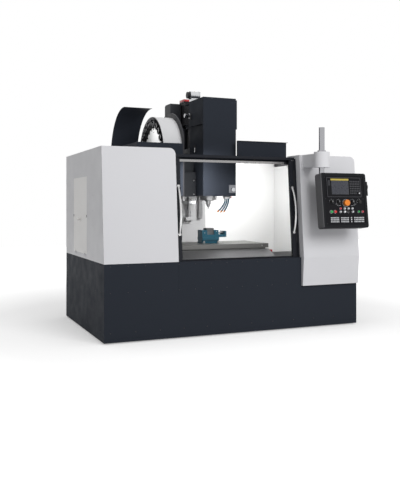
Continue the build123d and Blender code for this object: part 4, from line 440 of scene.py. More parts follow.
class Kit:
    """One piece of detail: simple bodies in part.py's millimetres, gathered into a mesh that rides on a body.
    """

    def __init__(self, name, body, slot, *materials):
        self.name = name
        self.body = body
        self.slot = slot
        self.materials = materials
        self.mesh = bmesh.new()

    def keep(self, verts, place, material):
        bmesh.ops.transform(self.mesh, matrix=place, verts=verts)
        index = self.materials.index(material) if material else 0
        for face in {face for vert in verts for face in vert.link_faces}:
            face.material_index = index

    def box(self, place, size, bevel=1.0, material=None):
        """A box about its middle, with rounded edges."""
        made = bmesh.ops.create_cube(self.mesh, size=1.0, matrix=Matrix.Diagonal((*size, 1.0)))
        verts = made["verts"]
        if bevel:
            geom = verts + list({edge for vert in verts for edge in vert.link_edges})
            cut = bmesh.ops.bevel(self.mesh, geom=geom, offset=bevel, segments=2, profile=0.5, affect="EDGES")
            rounded = {vert for face in cut["faces"] for vert in face.verts}
            verts = list(rounded | {vert for vert in verts if vert.is_valid})
        self.keep(verts, place, material)

    def lathe(self, place, profile, sides=24, material=None):
        """A turned body about its own Z, from (radius, height) pairs; a radius of 0 closes it."""
        turn = [2 * math.pi * k / sides for k in range(sides)]
        rings = []
        for radius, height in profile:
            steps = turn if radius else turn[:1]
            ring = [(radius * math.cos(a), radius * math.sin(a), height) for a in steps]
            rings.append([self.mesh.verts.new(point) for point in ring])
        for low, high in zip(rings, rings[1:]):
            for k in range(sides):
                m = k + 1
                corners = (low[k % len(low)], low[m % len(low)], high[m % len(high)], high[k % len(high)])
                unique = list(dict.fromkeys(corners))
                if len(unique) > 2:
                    self.mesh.faces.new(unique)
        self.keep([vert for ring in rings for vert in ring], place, material)

    def screw(self, place, radius=5.0, material=None):
        """A button-head socket screw standing on a face, its axis along Z."""
        shares = ((1, 0), (1, 0.25), (0.8, 0.5), (0.48, 0.6), (0.46, 0.15), (0, 0.15))
        self.lathe(place, [(radius * across, radius * up) for across, up in shares], 12, material)

    def bolt(self, place, across=13.0, material=None):
        """A hexagon bolt head with a chamfered top on a washer."""
        washer = 1.6
        corner = across / 2 / math.cos(math.pi / 6)
        top = 0.65 * across
        self.lathe(place, [(1.25 * corner, 0), (1.25 * corner, washer), (corner, washer)], 24, material)
        head = [(corner, washer), (corner, 0.55 * across), (0.86 * corner, top), (0, top)]
        self.lathe(place, head, 6, material)

    def loop(self, place, width, height, corner, section, material=None):
        """A closed frame in a place's XZ plane: a rounded rectangle about its middle.

        The section is (across, up) pairs, and up is towards the place's front.
        """
        up = (place.to_3x3() @ Vector(FORWARD)).normalized()
        points = []
        for sx, sz, start in ((1, 1, 0), (-1, 1, 90), (-1, -1, 180), (1, -1, 270)):
            for k in range(5):
                a = math.radians(start + 22.5 * k)
                x = sx * (width / 2 - corner) + corner * math.cos(a)
                z = sz * (height / 2 - corner) + corner * math.sin(a)
                points.append(place @ Vector((x, 0, z)))
        rings = []
        for before, point, after in zip(points[-1:] + points, points, points[1:] + points[:1]):
            along = (after - before).normalized()
            across = along.cross(up).normalized()
            lift = across.cross(along)
            grow = 1 / max(0.5, abs(along.dot((point - before).normalized())))
            rings.append([self.mesh.verts.new(point + across * (a * grow) + lift * b) for a, b in section])
        size = len(section)
        for low, high in zip(rings, rings[1:] + rings[:1]):
            for k in range(size):
                self.mesh.faces.new((low[k], low[(k + 1) % size], high[(k + 1) % size], high[k]))
        self.keep([vert for ring in rings for vert in ring], Matrix.Identity(4), material)

    def done(self, replaces=()):
        """Move the mesh to the frame and hang it on its body."""
        self.mesh.transform(Matrix.Translation(SHIFT) @ Matrix.Scale(0.001, 4))
        bmesh.ops.recalc_face_normals(self.mesh, faces=self.mesh.faces[:])
        data = bpy.data.meshes.new(self.name)
        for face in self.mesh.faces:
            face.smooth = True
        self.mesh.to_mesh(data)
        self.mesh.free()
        data.set_sharp_from_angle(angle=math.radians(35))
        for material in self.materials:
            data.materials.append(MATERIALS[material])
        piece = bpy.data.objects.new(self.name, data)
        bpy.context.collection.objects.link(piece)
        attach(piece, self.body)
        if replaces:
            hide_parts(*replaces)


def spot(x, y, z):
    return Matrix.Translation((x, y, z))


def turned(angle, axis):
    return Matrix.Rotation(angle, 4, axis)


def facing(x, y, z, direction):
    """A place whose Z axis points along a direction."""
    return spot(x, y, z) @ Vector(direction).to_track_quat("Z", "Y").to_matrix().to_4x4()


def circle(count, radius, start=0.0):
    """An angle and the two coordinates there, count times around; start is in degrees."""
    for k in range(count):
        a = math.radians(start) + 2 * math.pi * k / count
        yield a, radius * math.cos(a), radius * math.sin(a)


# The pendant. Places on it are X and Z from the panel's lower left corner, and Y back from its rim.

PANEL = spot(PANEL_LEFT, PANEL_FRONT, PANEL_LOW) @ turned(math.radians(-PANEL_TILT), "X")
PLATE_DEPTH = 4.0  # of the plate's face behind the rim
SCREEN = (224, 415.5, 203, 139)  # middle, width, height
DISPLAY = (271, 418, 400, 190)  # the plate around the screen and its keys
KNOB_PLACES = ((113, 269), (195, 269), (365, 269))
FEED_PLACE = (445, 271)
START_PLACE, STOP_PLACE = (100, 166), (146, 166)
ESTOP_PLACE = (283, 256)
ESTOP_REACH = 34.0
KEY_SPANS = ((85, 188, 6), (208, 306, 6), (326, 347, 1), (367, 493, 7))  # left, right, keys in a row
BUTTONS = {(213, 199): "lens_red", (262, 199): "key_gray", (308, 199): "key_gray", (357, 199): "key_gray",
           (211, 166): "key_gray", (262, 166): "dot_white", (308, 166): "dial_black", (360, 166): "key_gray",
           (432, 166): "button_green", (481, 166): "lens_red"}


def on_panel(x, z, y=PLATE_DEPTH):
    """A place on the pendant's plate whose Z axis points out of it."""
    return PANEL @ spot(x, y, z) @ turned(math.radians(90.0), "X")


def pendant_display():
    x, z, width, height = SCREEN
    screen = Kit("pendant_screen", "pendant", "dial_black", "screen", "panel_gray")
    screen.box(PANEL @ spot(x, 0.2, z), (width, 2, height), 0.6)
    rim = [(-2, -1), (2, -1), (1.4, 1.6), (-1.4, 1.6)]
    screen.loop(PANEL @ spot(x, 0, z), width + 7, height + 7, 5, rim, "panel_gray")
    screen.done()
    x, z, width, height = DISPLAY
    trim = Kit("pendant_trim", "pendant", "panel_gray", "bezel_gray", "bar_yellow", "dot_white")
    trim.box(PANEL @ spot(x, -0.1, z), (width, 0.8, height), 0.2)
    trim.box(PANEL @ spot(222, -1.4, 497), (218, 1.6, 18), 0.5, "bar_yellow")
    rim = [(-2, -0.5), (2, -0.5), (1.2, 1.6), (-1.2, 1.6)]
    trim.loop(PANEL @ spot(x, -1, z), width + 8, height + 8, 6, rim)
    for k in range(5):
        trim.box(PANEL @ spot(92, -1.6, 440 + k * 11), (26, 1.2, 4), 0.4)
    trim.lathe(on_panel(457, 358, -1), [(7, 0), (7, 2), (5, 3.2), (0, 3.6)], 20, "dot_white")
    trim.done()


def pendant_keys():
    """The key block beside the screen, whose lowest row is short, and the rows of keys at the bottom."""
    keys = Kit("pendant_keypad", "pendant", "panel_gray", "key_gray", "key_dark")
    for row in range(6):
        for column in range(6 if row else 4):
            keys.box(PANEL @ spot(349 + column * 21, -2.4, 357 + row * 24), (15, 4, 15), 1.2, "key_dark")
    for row in range(3):
        for left, right, count in KEY_SPANS:
            pitch = (right - left) / count
            for column in range(count):
                low = PANEL @ spot(left + (column + 0.5) * pitch, -0.6, 64 + row * 20)
                keys.box(low, (pitch * 0.70, 2.4, 12.5), 0.9)
    keys.done()


def pendant_dials():
    """The knobs and the marks around them, and the bright rings around the large buttons."""
    mark_circle = 26
    dials = Kit("pendant_dials", "pendant", "dial_black", "dial_black", "mark_white", "chrome")
    for x, z in (*KNOB_PLACES, FEED_PLACE):
        for k in range(11):
            a = math.radians(-120 + 24 * k)
            mark = spot(x + mark_circle * math.sin(a), PLATE_DEPTH - 0.6, z + mark_circle * math.cos(a))
            dials.box(PANEL @ mark @ turned(a, "Y"), (1.6, 1.2, 7), 0.3, "mark_white")
    for x, z in KNOB_PLACES:
        dials.lathe(on_panel(x, z), [(17.6, 0), (17.6, 14), (14, 19), (12, 22.4), (0, 22.6)], 28)
        dials.box(PANEL @ spot(x, -19.5, z + 4), (3, 2.2, 16), 0.6, "mark_white")
    for place, outer in ((START_PLACE, 18.5), (STOP_PLACE, 18.5), (ESTOP_PLACE, 41)):
        ring = [(outer, 0), (outer - 1, 1.6), (outer - 4, 2), (outer - 4, 0)]
        dials.lathe(on_panel(*place), ring, 32, "chrome")
    x, z = ESTOP_PLACE
    for k in (0, 1, 2, 6, 7, 8):  # marks on an arc under it, clear of the mushroom when it is pressed
        a = math.radians(-76 + 19 * k)
        drop = 44 * math.cos(a) * (0.4 + 0.6 * abs(math.sin(a)))
        mark = spot(x + 118 * math.sin(a), PLATE_DEPTH - 0.5, z - drop)
        dials.box(PANEL @ mark, (20, 1, 2.2), 0.3, "mark_white")
    dials.done()


def pendant_buttons():
    buttons = Kit("pendant_buttons", "pendant", "button_red", *sorted(set(BUTTONS.values())), "chrome")
    for place, colour in BUTTONS.items():
        ring = [(13.5, 0), (13.5, 3), (12, 4.5), (11.4, 4.5), (11.4, 0)]
        buttons.lathe(on_panel(*place), ring, 24, "chrome")
        buttons.lathe(on_panel(*place), [(11.3, 0), (11.3, 10.5), (9.6, 12.6), (0, 13.2)], 24, colour)
    buttons.done()
    screws = Kit("pendant_screws", "pendant", "steel", "dark_screw")
    for x in (44, 502):
        for z in (44, 300, 521):
            screws.screw(on_panel(x, z))
    screws.done()


def emergency_details():
    """The mushroom's crowned cap with four marks."""
    cap = Kit("emergency_cap", "emergency_stop", "stop_orange", "stop_orange")
    top = on_panel(*ESTOP_PLACE, PLATE_DEPTH - ESTOP_REACH)
    cap.lathe(top, [(31, -8), (31.4, -4), (29, 0.2), (22, 1.6), (0, 2.2)], 40)
    for k in range(4):
        cap.box(top @ turned(k * math.pi / 2 + 0.4, "Z") @ spot(20, 0, 1.2), (4, 13, 1.4), 0.5)
    cap.done()


# The enclosure and its doors

DOOR_OUT = (0, -1, -0.0875)  # square to the doors' leaning face


def face_y(z):
    """The left cover's leaning front face."""
    return COVER_LEAN * (z - BELT_TOP) / (LEFT_COVER_TOP - BELT_TOP)


def door_details():
    """The gasket around each window, on both faces, and the screws of the handles and of the edges."""
    lean = turned(-math.atan2(COVER_LEAN, LEFT_COVER_TOP - BELT_TOP), "X")
    middle = (WINDOW_LOW + WINDOW_HIGH) / 2
    lip = [(-7, -0.5), (7, -0.5), (6, 2.2), (2, 3), (-6, 2.2)]
    for name, lead, side in DOORS:
        body = f"{name}_door"
        gasket = Kit(f"{name}_door_gasket", body, "dial_black", "rubber")
        for inset, turn in ((DOOR_INSET, 0.0), (DOOR_INSET + DOOR_THICK, math.pi)):
            place = spot(lead - side * DOOR_WIDTH / 2, face_y(middle) + inset, middle) @ lean @ turned(turn, "Z")
            gasket.loop(place, DOOR_WIDTH - 2 * DOOR_STILE + 6, WINDOW_HIGH - WINDOW_LOW + 6, 12, lip)
        gasket.done()
        screws = Kit(f"{name}_door_screws", body, "steel", "dark_screw")
        for z in (HANDLE_LOW, HANDLE_HIGH):
            foot = facing(lead - side * HANDLE_INSET, face_y(z) + DOOR_INSET - 0.4, z, DOOR_OUT)
            screws.lathe(foot, [(20, -1), (20, 2), (18, 4), (12, 4.6)], 28)
        for z in range(790, 1741, 190):
            screws.screw(facing(lead - side * 10, face_y(z) + DOOR_INSET, z, DOOR_OUT), 4.5)
        screws.done()


def enclosure_screws():
    """Rows of screws along the edges of the enclosure's sheets."""
    skirt, belt_low, belt_high = 100, 474, 720
    dark = Kit("frame_screws", "base", "steel", "dark_screw")
    for x in range(-1340, 700, 170):
        for z in (belt_high, belt_low):
            dark.screw(facing(x, 0, z, FORWARD))
    for x in range(-1340, 1400, 244):
        dark.screw(facing(x, 0, skirt, FORWARD), 6)
    for y in range(120, 1700, 197):
        for z in (skirt, belt_low, belt_high):
            dark.screw(facing(-HALF, y, z, LEFT))
        dark.screw(facing(HALF, y, skirt, RIGHT))
    for z in range(1440, 1900, 110):
        dark.screw(facing(ATC_LEFT, 420, z, LEFT), 4.5)
    for x in range(-930, -480, 105):
        dark.screw(facing(x, ATC_FRONT, 1905, FORWARD), 4.5)
    for x in range(250, 760, 98):
        for z in (1960, 1822):
            dark.screw(facing(x, GUARD_BOX_FRONT, z, FORWARD), 4.5)
    dark.done()
    light = Kit("panel_screws", "base", "light_enamel", "light_enamel")
    for z in range(790, 1840, 150):
        for x, y, out in ((-HALF, 1700, LEFT), (-HALF, 440, LEFT), (HALF, 330, RIGHT), (HALF, 1700, RIGHT)):
            light.screw(facing(x, y, z, out))
        for x in (-1360, -360, 360):
            light.screw(facing(x, REAR, z, BACKWARD))
    light.done()


def roof_details():
    """Folded black sheets: the valance behind the doors' rail and the end of the box beside the head."""
    valance = Kit("lintel_valance", "base", "black_enamel", "black_enamel")
    valance.box(spot(14, 196 + SHEET / 2, 1771), (1338, SHEET, 50), 0.4)
    valance.done()
    left, low, fold = 168, 1800, 14
    width, height = GUARD_BOX_LEFT - left, GUARD_BOX_TOP - low
    x, z = left + width / 2, low + height / 2
    end = Kit("guard_box_end", "base", "black_enamel", "black_enamel")
    end.box(spot(x, GUARD_BOX_FRONT + SHEET / 2, z), (width, SHEET, height), 0.4)
    end.box(spot(x, GUARD_BOX_FRONT - fold / 2, GUARD_BOX_TOP - SHEET / 2), (width, fold, SHEET), 0.4)
    end.box(spot(left + SHEET / 2, GUARD_BOX_FRONT + fold / 2, z), (SHEET, fold, height), 0.4)
    end.done()


def rail_details():
    trim = Kit("door_rail_trim", "base", "steel", "sheet_steel")
    rail_y = face_y(RAIL_HIGH) + DOOR_INSET + DOOR_THICK + 14
    for x in (-600, -200, 180, 560):
        trim.bolt(facing(x, rail_y, (RAIL_LOW + RAIL_HIGH) / 2, FORWARD), 10)
    trim.done()


def side_details():
    clips = Kit("side_pane_clips", "base", "dial_black", "rubber")
    for y in (706, 1319):
        clips.box(spot(-HALF - 0.5, y, 1181), (3, 16, 26))
    clips.done()


# The head


def head_cover_details():
    louver = Kit("head_louvers", "head", "black_enamel", "black_enamel", "shadow")
    for k in range(9):
        z = 2146 + k * 32
        # A near-black slot behind each blade: painted shade between the louvers.
        louver.box(spot(213.6, 716, z), (2.4, 300, 20), 0.6, "shadow")
        louver.box(spot(215, 716, z + 8) @ turned(math.radians(25), "Y"), (3, 300, 18), 0.8)
    for x in (-152, -52, 48, 148):
        for z in (1412, 2140, 2425):
            louver.screw(facing(x, COVER_FRONT, z, FORWARD), 4.5)
    louver.done()
    lamp = Kit("head_lamp_lens", "head", "lamp_white", "lens_white", "chrome")
    lamp.lathe(facing(LAMP_X, LAMP_FACE - 8, LAMP_Z, FORWARD), [(21, -1), (21, 1.4), (14, 4), (0, 5)], 32)
    ring = [(26, 0), (26, 5), (23, 8.4), (22, 8.4), (22, 0)]
    lamp.lathe(facing(LAMP_X, LAMP_FACE, LAMP_Z, FORWARD), ring, 36, "chrome")
    for x in (120, 182):
        for z in (1433, 1503):
            lamp.screw(facing(x, LAMP_FACE, z, FORWARD), 3.5, "chrome")
    lamp.done()


def spindle_details():
    """The nose's screws and ring, and the spindle's drive keys, the tool's nut and its cutting edges."""
    nose = Kit("spindle_nose_screws", "head", "steel", "steel")
    for _, x, y in circle(8, 84, 22.5):
        nose.screw(facing(x, SPINDLE_Y + y, NOSE_FACE, DOWN), 6)
    ring = [(72, -1), (72, 5), (66, 9), (58, 10), (50, 10), (50, 0)]
    nose.lathe(facing(0, SPINDLE_Y, NOSE_FACE, DOWN), ring, 48)
    nose.done()
    keys = Kit("spindle_drive_keys", "spindle", "steel", "steel")
    for x in (-38, 38):
        keys.box(spot(x, SPINDLE_Y, 1342.5), (9, 15, 6))
    keys.lathe(facing(0, SPINDLE_Y, 1276, UP), [(15, 0), (17.4, 2), (17.4, 14), (15, 16)], 6)
    for a, x, y in circle(3, 5.6):
        blade = spot(x, SPINDLE_Y + y, 1262) @ turned(a, "Z") @ turned(0.3, "X")
        keys.box(blade, (4, 2.4, 22), 0.4)
    keys.done()


def head_fittings():
    """The union, a rubber cover, and a painted-shade pocket with a white plate in it, on the head's left side,
    and the air booster's bolts and port.
    """
    union = Kit("head_unions", "head", "steel", "chrome", "rubber", "shadow", "dot_white")
    shoulder = [(28, -1), (28, 5), (21, 6), (21, 44), (24, 46), (24, 58), (20, 62), (0, 62)]
    union.lathe(facing(COVER_LEFT, 918, 2290, LEFT), shoulder, 32)
    union.box(spot(-193, 880, 2278), (6, 34, 62), 1.5, "rubber")
    # A near-black pocket as painted shade of a recess, and in it a white plate: a painted highlight for a bright
    # steel plate.
    union.box(spot(-179.5, 786, 1911), (6, 46, 72), 1.5, "shadow")
    union.box(spot(-183.5, 782, 1902), (3, 16, 46), 1.0, "dot_white")
    union.done()
    booster = Kit("booster_fittings", "head", "steel", "chrome", "brass")
    middle_y, middle_z, reach = 1100, 2553, 32
    for x, out in ((-116, LEFT), (-4, RIGHT)):
        for z in (middle_z - reach, middle_z + reach):
            for y in (middle_y - reach, middle_y + reach):
                booster.bolt(facing(x, y, z, out), 9)
    booster.lathe(facing(-60, middle_y, 2598, UP), [(8, -2), (8, 1), (5, 1), (5, 4)], 16, "brass")
    booster.done()


def hose_points(start, bend, end):
    """Points along a hose that leaves its block downwards and bends towards its end."""
    steps = 24
    shares = [k / steps for k in range(steps + 1)]
    return [start * (1 - u) ** 2 + bend * 2 * u * (1 - u) + end * u * u for u in shares]


def hose_details():
    """The jointed coolant hoses, each a string of ball and socket segments with an orange tip."""
    block_y, block_low = 627, 1363.0
    joints = 12
    tip = [(9.6, -4), (10.0, 6), (8.2, 12), (4.8, 24), (2.8, 24), (2.8, 12), (0, 12)]
    hoses = Kit("coolant_hoses", "head", "nozzle_plastic", "hose_teal", "tip_orange", "steel", "valve_red")
    hoses.box(spot(136, block_y, block_low + 16), (72, 46, 32), 2.5, "steel")
    tap = [(7, 0), (7, 6), (10, 6), (10, 16), (8, 18), (0, 18)]
    hoses.lathe(facing(172, block_y, block_low + 16, RIGHT), tap, 20, "valve_red")
    for k, (end_x, end_z) in enumerate(((66, 1232), (101, 1229), (137, 1232))):
        x = 114 + 22 * k
        bend = Vector((x + 4 - 2 * k, block_y + 3, block_low - 62))
        points = hose_points(Vector((x, block_y, block_low)), bend, Vector((end_x, 688, end_z)))
        run = [0.0]
        for a, b in zip(points, points[1:]):
            run.append(run[-1] + (b - a).length)
        pitch = run[-1] / joints
        segment = [(5.6, -1), (8.6, 1.5), (9.0, pitch * 0.5), (7.4, pitch * 0.8), (5.6, pitch + 1)]
        for joint in range(joints):
            want = run[-1] * joint / joints
            index = max(i for i, gone in enumerate(run) if gone <= want)
            share = (want - run[index]) / (run[index + 1] - run[index])
            place = points[index].lerp(points[index + 1], share)
            hoses.lathe(facing(*place, (points[index + 1] - points[index]).normalized()), segment, 14)
        hoses.lathe(facing(*points[-1], (points[-1] - points[-2]).normalized()), tip, 16, "tip_orange")
    hoses.done(("coolant_nozzles",))


# The table and what stands on it

JAW_ENDS = ((763, FORWARD), (897, BACKWARD))  # the jaws' front and back faces, and the way out of each


def vise_details():
    vise = Kit("vise_details", "table", "steel", "steel")
    for x in (-85, 85):
        for y in (752, 908):
            vise.bolt(spot(x, y, TABLE_TOP + 16), 16)
            vise.lathe(spot(x, y, TABLE_TOP - 1), [(13, 0), (13, 17)], 20)
    vise.box(spot(-41.5, SPINDLE_Y, 996), (3, 122, 34), 0.8)
    for y, out in JAW_ENDS:
        vise.screw(facing(-70, y, 985, out))
    vise.done()


def table_details():
    stops = Kit("table_stops", "table", "steel", "steel")
    for x in (-520, 520):
        stops.bolt(facing(x, 530, 846, FORWARD))
    stops.done()
    valve = Kit("apron_valve", "saddle", "steel", "valve_red", "steel")
    valve.box(spot(614, 505, 765), (28, 34, 72), 2.5)
    valve.lathe(facing(614, 488, 745, FORWARD), [(9, -1), (9, 12), (6, 14), (0, 14)], 20, "steel")
    valve.done()
    jaw = Kit("vise_jaw_plate", "vise_jaw", "steel", "steel")
    for y, out in JAW_ENDS:
        jaw.screw(facing(70, y, 1000, out))
    jaw.done()
    saddle = Kit("saddle_screws", "saddle", "steel", "dark_screw")
    for x in range(-560, 600, 140):
        saddle.screw(facing(x, APRON_FRONT, 700, FORWARD), 4.5)
    saddle.done()


# The tool magazine and the changer

MOUTH_RING = [(31, 0), (29.5, 1.6), (24, 1.8), (23, 0.4), (23, -3)]
POT_BAND = [(38, 0), (38.8, 1), (38.8, 9), (38, 10)]
MOUTH_X, BAND_X, PLATE_X, DISC_X = -680, -645, -638, -570  # from the pots' mouths in to the disc's face


def magazine_plate():
    """The white plate in front of the disc, notched to clear the pots, on six spacers."""
    thick, bore, rim, notch = 3.0, 74, 306, 26
    plate = Kit("magazine_plate", "magazine", "disc_white", "disc_white", "steel")
    turns = [a for a, _, _ in circle(POT_COUNT * 8, 1)]
    edge = [rim - notch * max(0.0, math.cos(POT_COUNT * a)) ** 0.5 for a in turns]
    rings = [[plate.mesh.verts.new((r * math.cos(a), r * math.sin(a), height)) for r, a in zip(radii, turns)]
             for radii in (edge, [bore] * len(turns)) for height in (0.0, thick)]
    outer_low, outer_high, inner_low, inner_high = rings
    for k in range(len(turns)):
        m = (k + 1) % len(turns)
        for low, high in ((outer_low, outer_high), (inner_high, inner_low),
                          (outer_high, inner_high), (inner_low, outer_low)):
            plate.mesh.faces.new((low[k], low[m], high[m], high[k]))
    plate.keep([vert for ring in rings for vert in ring], facing(PLATE_X, SPINDLE_Y, MAG_Z, LEFT), "disc_white")
    for _, y, z in circle(6, 255, 30):
        plate.lathe(facing(DISC_X, SPINDLE_Y + y, MAG_Z + z, LEFT), [(9, 0), (9, 68), (0, 68)], 16, "steel")
        plate.screw(facing(PLATE_X - thick, SPINDLE_Y + y, MAG_Z + z, LEFT), 7, "steel")
    plate.done()


def about_magazine(angle):
    """The turn of the disc that takes its lowest pot around by an angle."""
    return spot(0, SPINDLE_Y, MAG_Z) @ turned(angle, "X") @ spot(0, -SPINDLE_Y, -MAG_Z)


def pot_ring(kit, angle):
    """A pot's steel mouth and rubber band."""
    for x, profile, material in ((MOUTH_X, MOUTH_RING, "steel"), (BAND_X, POT_BAND, "rubber")):
        lowest = facing(x, SPINDLE_Y, MAG_Z - POT_CIRCLE, LEFT)
        kit.lathe(about_magazine(angle) @ lowest, profile, 28, material)


def magazine_details():
    """Rings on all pots, of which the lowest one is the change pot's, and the disc's screws and hub."""
    pitch = math.radians(360 / POT_COUNT)
    rims = Kit("pot_rings", "magazine", "steel", "steel", "rubber")
    for k in range(1, POT_COUNT):
        pot_ring(rims, k * pitch)
    for k in range(POT_COUNT):
        screw = facing(DISC_X, SPINDLE_Y, MAG_Z - 320, LEFT)
        rims.screw(about_magazine((k + 0.5) * pitch) @ screw, 6)
    rims.lathe(facing(-590, SPINDLE_Y, MAG_Z, LEFT), [(58, 0), (56, 3), (46, 4), (44, 1), (44, 0)], 48)
    rims.done()
    free = Kit("change_pot_ring", "change_pot", "steel", "steel", "rubber")
    pot_ring(free, 0.0)
    free.done()


def changer_details():
    """Bolts of the gearbox and of the arm's motor, and the ribs around that motor's foot."""
    fittings = Kit("changer_fittings", "base", "steel", "steel", "casting_gray")
    for x in (-405, -225):
        for z in (1410, 1560, 1770):
            fittings.bolt(facing(x, 700, z, FORWARD), 12)
    for _, x, y in circle(6, 52):
        fittings.bolt(facing(ARM_X + x, ARM_MOTOR_Y + y, 1960, UP), 8)
    for z in range(1806, 1927, 20):
        fittings.lathe(spot(ARM_X, ARM_MOTOR_Y, z), [(65, 0), (70, 2), (70, 6), (65, 8)], 40, "casting_gray")
    fittings.done()


# The base, the tank and the cabinet


def base_details():
    feet = Kit("foot_nuts", "base", "steel", "steel")
    for x in (-560.0, 560.0):
        for y in (220.0, 980.0, 1740.0):
            feet.lathe(spot(x, y, 36), [(27, 0), (27, 14), (24, 16), (15, 16)], 6)
    feet.done()
    motor = Kit("z_motor_cap", "base", "motor_black", "cap_red", "steel")
    motor.box(spot(0, 1433, 2535), (178, 148, 28), 5)
    for x in (-70, 70):
        motor.bolt(facing(x, 1360, 2249, FORWARD), 10, "steel")
    motor.done()


def tank_details():
    """The tank's filler cap and strainer, and the cage around its pump's motor."""
    tank = Kit("tank_fittings", "base", "tank_gray", "tank_gray", "steel")
    cap = [(46, 0), (46, 8), (40, 14), (12, 15), (12, 30), (0, 32)]
    tank.lathe(spot(-1270, 420, TANK_TOP), cap, 32)
    for k in range(9):
        tank.box(spot(-1040, 320 + k * 26, TANK_TOP + 1), (210, 10, 2.4), 0.8, "steel")
    for a, x, y in circle(10, 56):
        tank.box(spot(-1290 + x, 1620 + y, 530) @ turned(a, "Z"), (5, 3, 180), 0.8)
    tank.done()


def column_details():
    """The plugs in the screw holes of the column's guides."""
    column = Kit("column_fittings", "base", "steel", "steel")
    plug = [(7.5, 0), (7.5, 0.8), (4.5, 0.8), (4.2, 0.2), (0, 0.2)]
    for z in range(1150, 2200, 105):
        for x in (-GUIDE_X, GUIDE_X):
            column.lathe(facing(x, COLUMN_FRONT - GUIDE_HEIGHT, z, FORWARD), plug, 16)
    column.done()


def cabinet_details():
    """Two locks, a main switch and louvers on the cabinet's door, and the ring of its gland."""
    lock_x, switch_x, switch_z = 460, 540, 1450
    lock = [(16, 0), (16, 4), (13, 6), (6, 6), (5, 3), (0, 3)]
    door = Kit("cabinet_fittings", "cabinet_door", "dial_black", "dial_black", "cap_red", "bar_yellow", "steel")
    for z in (700, 1700):
        door.lathe(facing(lock_x, CABINET_FACE, z, BACKWARD), lock, 28)
        door.box(spot(lock_x, CABINET_FACE + 3.5, z), (4, 5, 18), 0.8, "steel")
    door.box(spot(switch_x, CABINET_FACE + 7.5, switch_z), (74, 3, 74), 1, "bar_yellow")
    door.lathe(facing(switch_x, CABINET_FACE + 8.5, switch_z, BACKWARD), [(27, 0), (27, 14), (24, 15)], 36)
    door.box(spot(switch_x, CABINET_FACE + 26.5, switch_z), (17.4, 6, 49.4), 2, "cap_red")
    for k in range(8):
        door.box(spot(880, CABINET_FACE + 7, 1556 + k * 26), (396, 1.6, 3), 0.5)
    door.done()
    gland = Kit("cabinet_gland_ring", "base", "dial_black", "rubber")
    gland.lathe(facing(620, 1945, 540, DOWN), [(20.5, -4), (20.5, 0), (26, 0), (27, 3), (25, 6), (21, 6)], 30)
    gland.done()


def wheel_details():
    """The handwheel's scale, the cap of its hub and the end of its crank."""
    divisions, scale_radius = 50, 33
    wheel = PANEL @ spot(572.3, 52, 430) @ turned(math.radians(90), "Y")
    dial = Kit("handwheel_marks", "handwheel", "dial_black", "mark_white", "chrome")
    for k in range(divisions):
        length = 6 if k % 5 == 0 else 3
        mark = wheel @ turned(2 * math.pi * k / divisions, "Z") @ spot(scale_radius - length / 2, 0, 10.2)
        dial.box(mark, (length, 0.7, 0.5), 0)
    dial.lathe(wheel @ spot(0, 24, 8), [(6.4, 9), (7.2, 12), (6, 15.5), (0, 16)], 20, "chrome")
    dial.lathe(wheel, [(12.4, 12), (12.4, 15), (10, 17), (0, 17.2)], 28, "chrome")
    dial.done()


for make in (pendant_display, pendant_keys, pendant_dials, pendant_buttons, emergency_details, door_details,
             enclosure_screws, roof_details, rail_details, side_details, head_cover_details, spindle_details,
             head_fittings, hose_details, vise_details, table_details, magazine_plate, magazine_details,
             changer_details, base_details, tank_details, column_details, cabinet_details, wheel_details):
    make()


# Stage


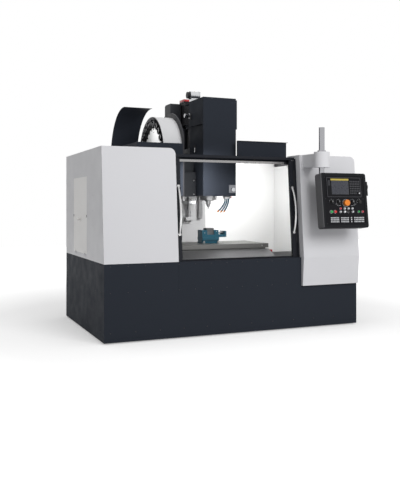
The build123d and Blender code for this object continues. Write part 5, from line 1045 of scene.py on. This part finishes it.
def make_floor():
    """A floor that shows white, except in the contact shadow, but lights the machine as gray paper would."""
    mesh = bpy.data.meshes.new("floor")
    size = 14.0
    corners = [(-size, -size, 0), (size, -size, 0), (size, size, 0), (-size, size, 0)]
    mesh.from_pydata(corners, [], [(0, 1, 2, 3)])
    floor = bpy.data.objects.new("floor", mesh)
    bpy.context.collection.objects.link(floor)
    n = Nodes("floor_pale")
    seen = n.seen()
    far = n.add("ShaderNodeVectorMath", operation="LENGTH")
    n.link(n.coords, far.inputs[0])
    glow = n.remap(far.outputs["Value"], 0.34, 1.0, 2.4, 6.0)
    n.link(n.mix(seen, (0.62, 0.62, 0.63), (0.80, 0.80, 0.80)), n.shader.inputs["Base Color"])
    n.put("Emission Color", (1.0, 1.0, 1.0, 1.0))
    n.link(n.math("MULTIPLY", seen, glow), n.shader.inputs["Emission Strength"])
    n.put("Roughness", 0.85)
    n.put("Specular IOR Level", 0.1)
    mesh.materials.append(n.material)


def make_world():
    """White where it is seen, and dimmer as a light."""
    world = bpy.data.worlds.new("studio")
    bpy.context.scene.world = world
    world.use_nodes = True
    w = Tree(world.node_tree)
    background = w.tree.nodes["Background"]
    w.link(w.remap(w.seen(), 0.40, 1.0), background.inputs["Strength"])
    background.inputs["Color"].default_value = (1.0, 1.0, 1.0, 1.0)


def area_light(name, place, aim, size, power):
    data = bpy.data.lights.new(name, "AREA")
    data.shape = "RECTANGLE"
    data.size, data.size_y = size
    data.energy = power
    light = bpy.data.objects.new(name, data)
    light.location = place
    light.rotation_euler = (Vector(aim) - Vector(place)).to_track_quat("-Z", "Y").to_euler()
    bpy.context.collection.objects.link(light)
    light.visible_camera = False
    light.visible_glossy = False


def make_lights():
    """Soft boxes in front and above, then small lights in the work space and over the magazine."""
    area_light("key", (1.2, -8.5, 4.6), (0.2, -0.4, 1.0), (5.5, 3.6), 460)
    area_light("over", (-0.5, -0.5, 6.0), (0.0, -0.2, 0.8), (4.0, 3.0), 80)
    area_light("work", at(560, 620, 1690), at(380, 1500, 1230), (0.36, 0.16), 12.5)
    area_light("work_low", at(-300, 260, 1500), at(-300, 1400, 1100), (0.35, 0.5), 5)
    area_light("pots", at(-800, 760, 2060), at(-638, 830, 1950), (0.3, 0.3), 0.55)


def make_camera():
    data = bpy.data.cameras.new("camera")
    data.lens = 49.65
    data.sensor_width = 36.0
    data.sensor_fit = "AUTO"
    data.shift_x = -0.0305
    data.shift_y = -0.0832
    data.clip_end = 100.0
    camera = bpy.data.objects.new("camera", data)
    camera.location = at(-2969.33, -6140.77, 1298.06)
    camera.rotation_euler = (math.radians(90.0), 0.0, math.radians(-23.64))
    bpy.context.collection.objects.link(camera)
    bpy.context.scene.camera = camera


make_floor()
make_world()
make_lights()
make_camera()
bpy.context.scene.view_settings.view_transform = "Standard"
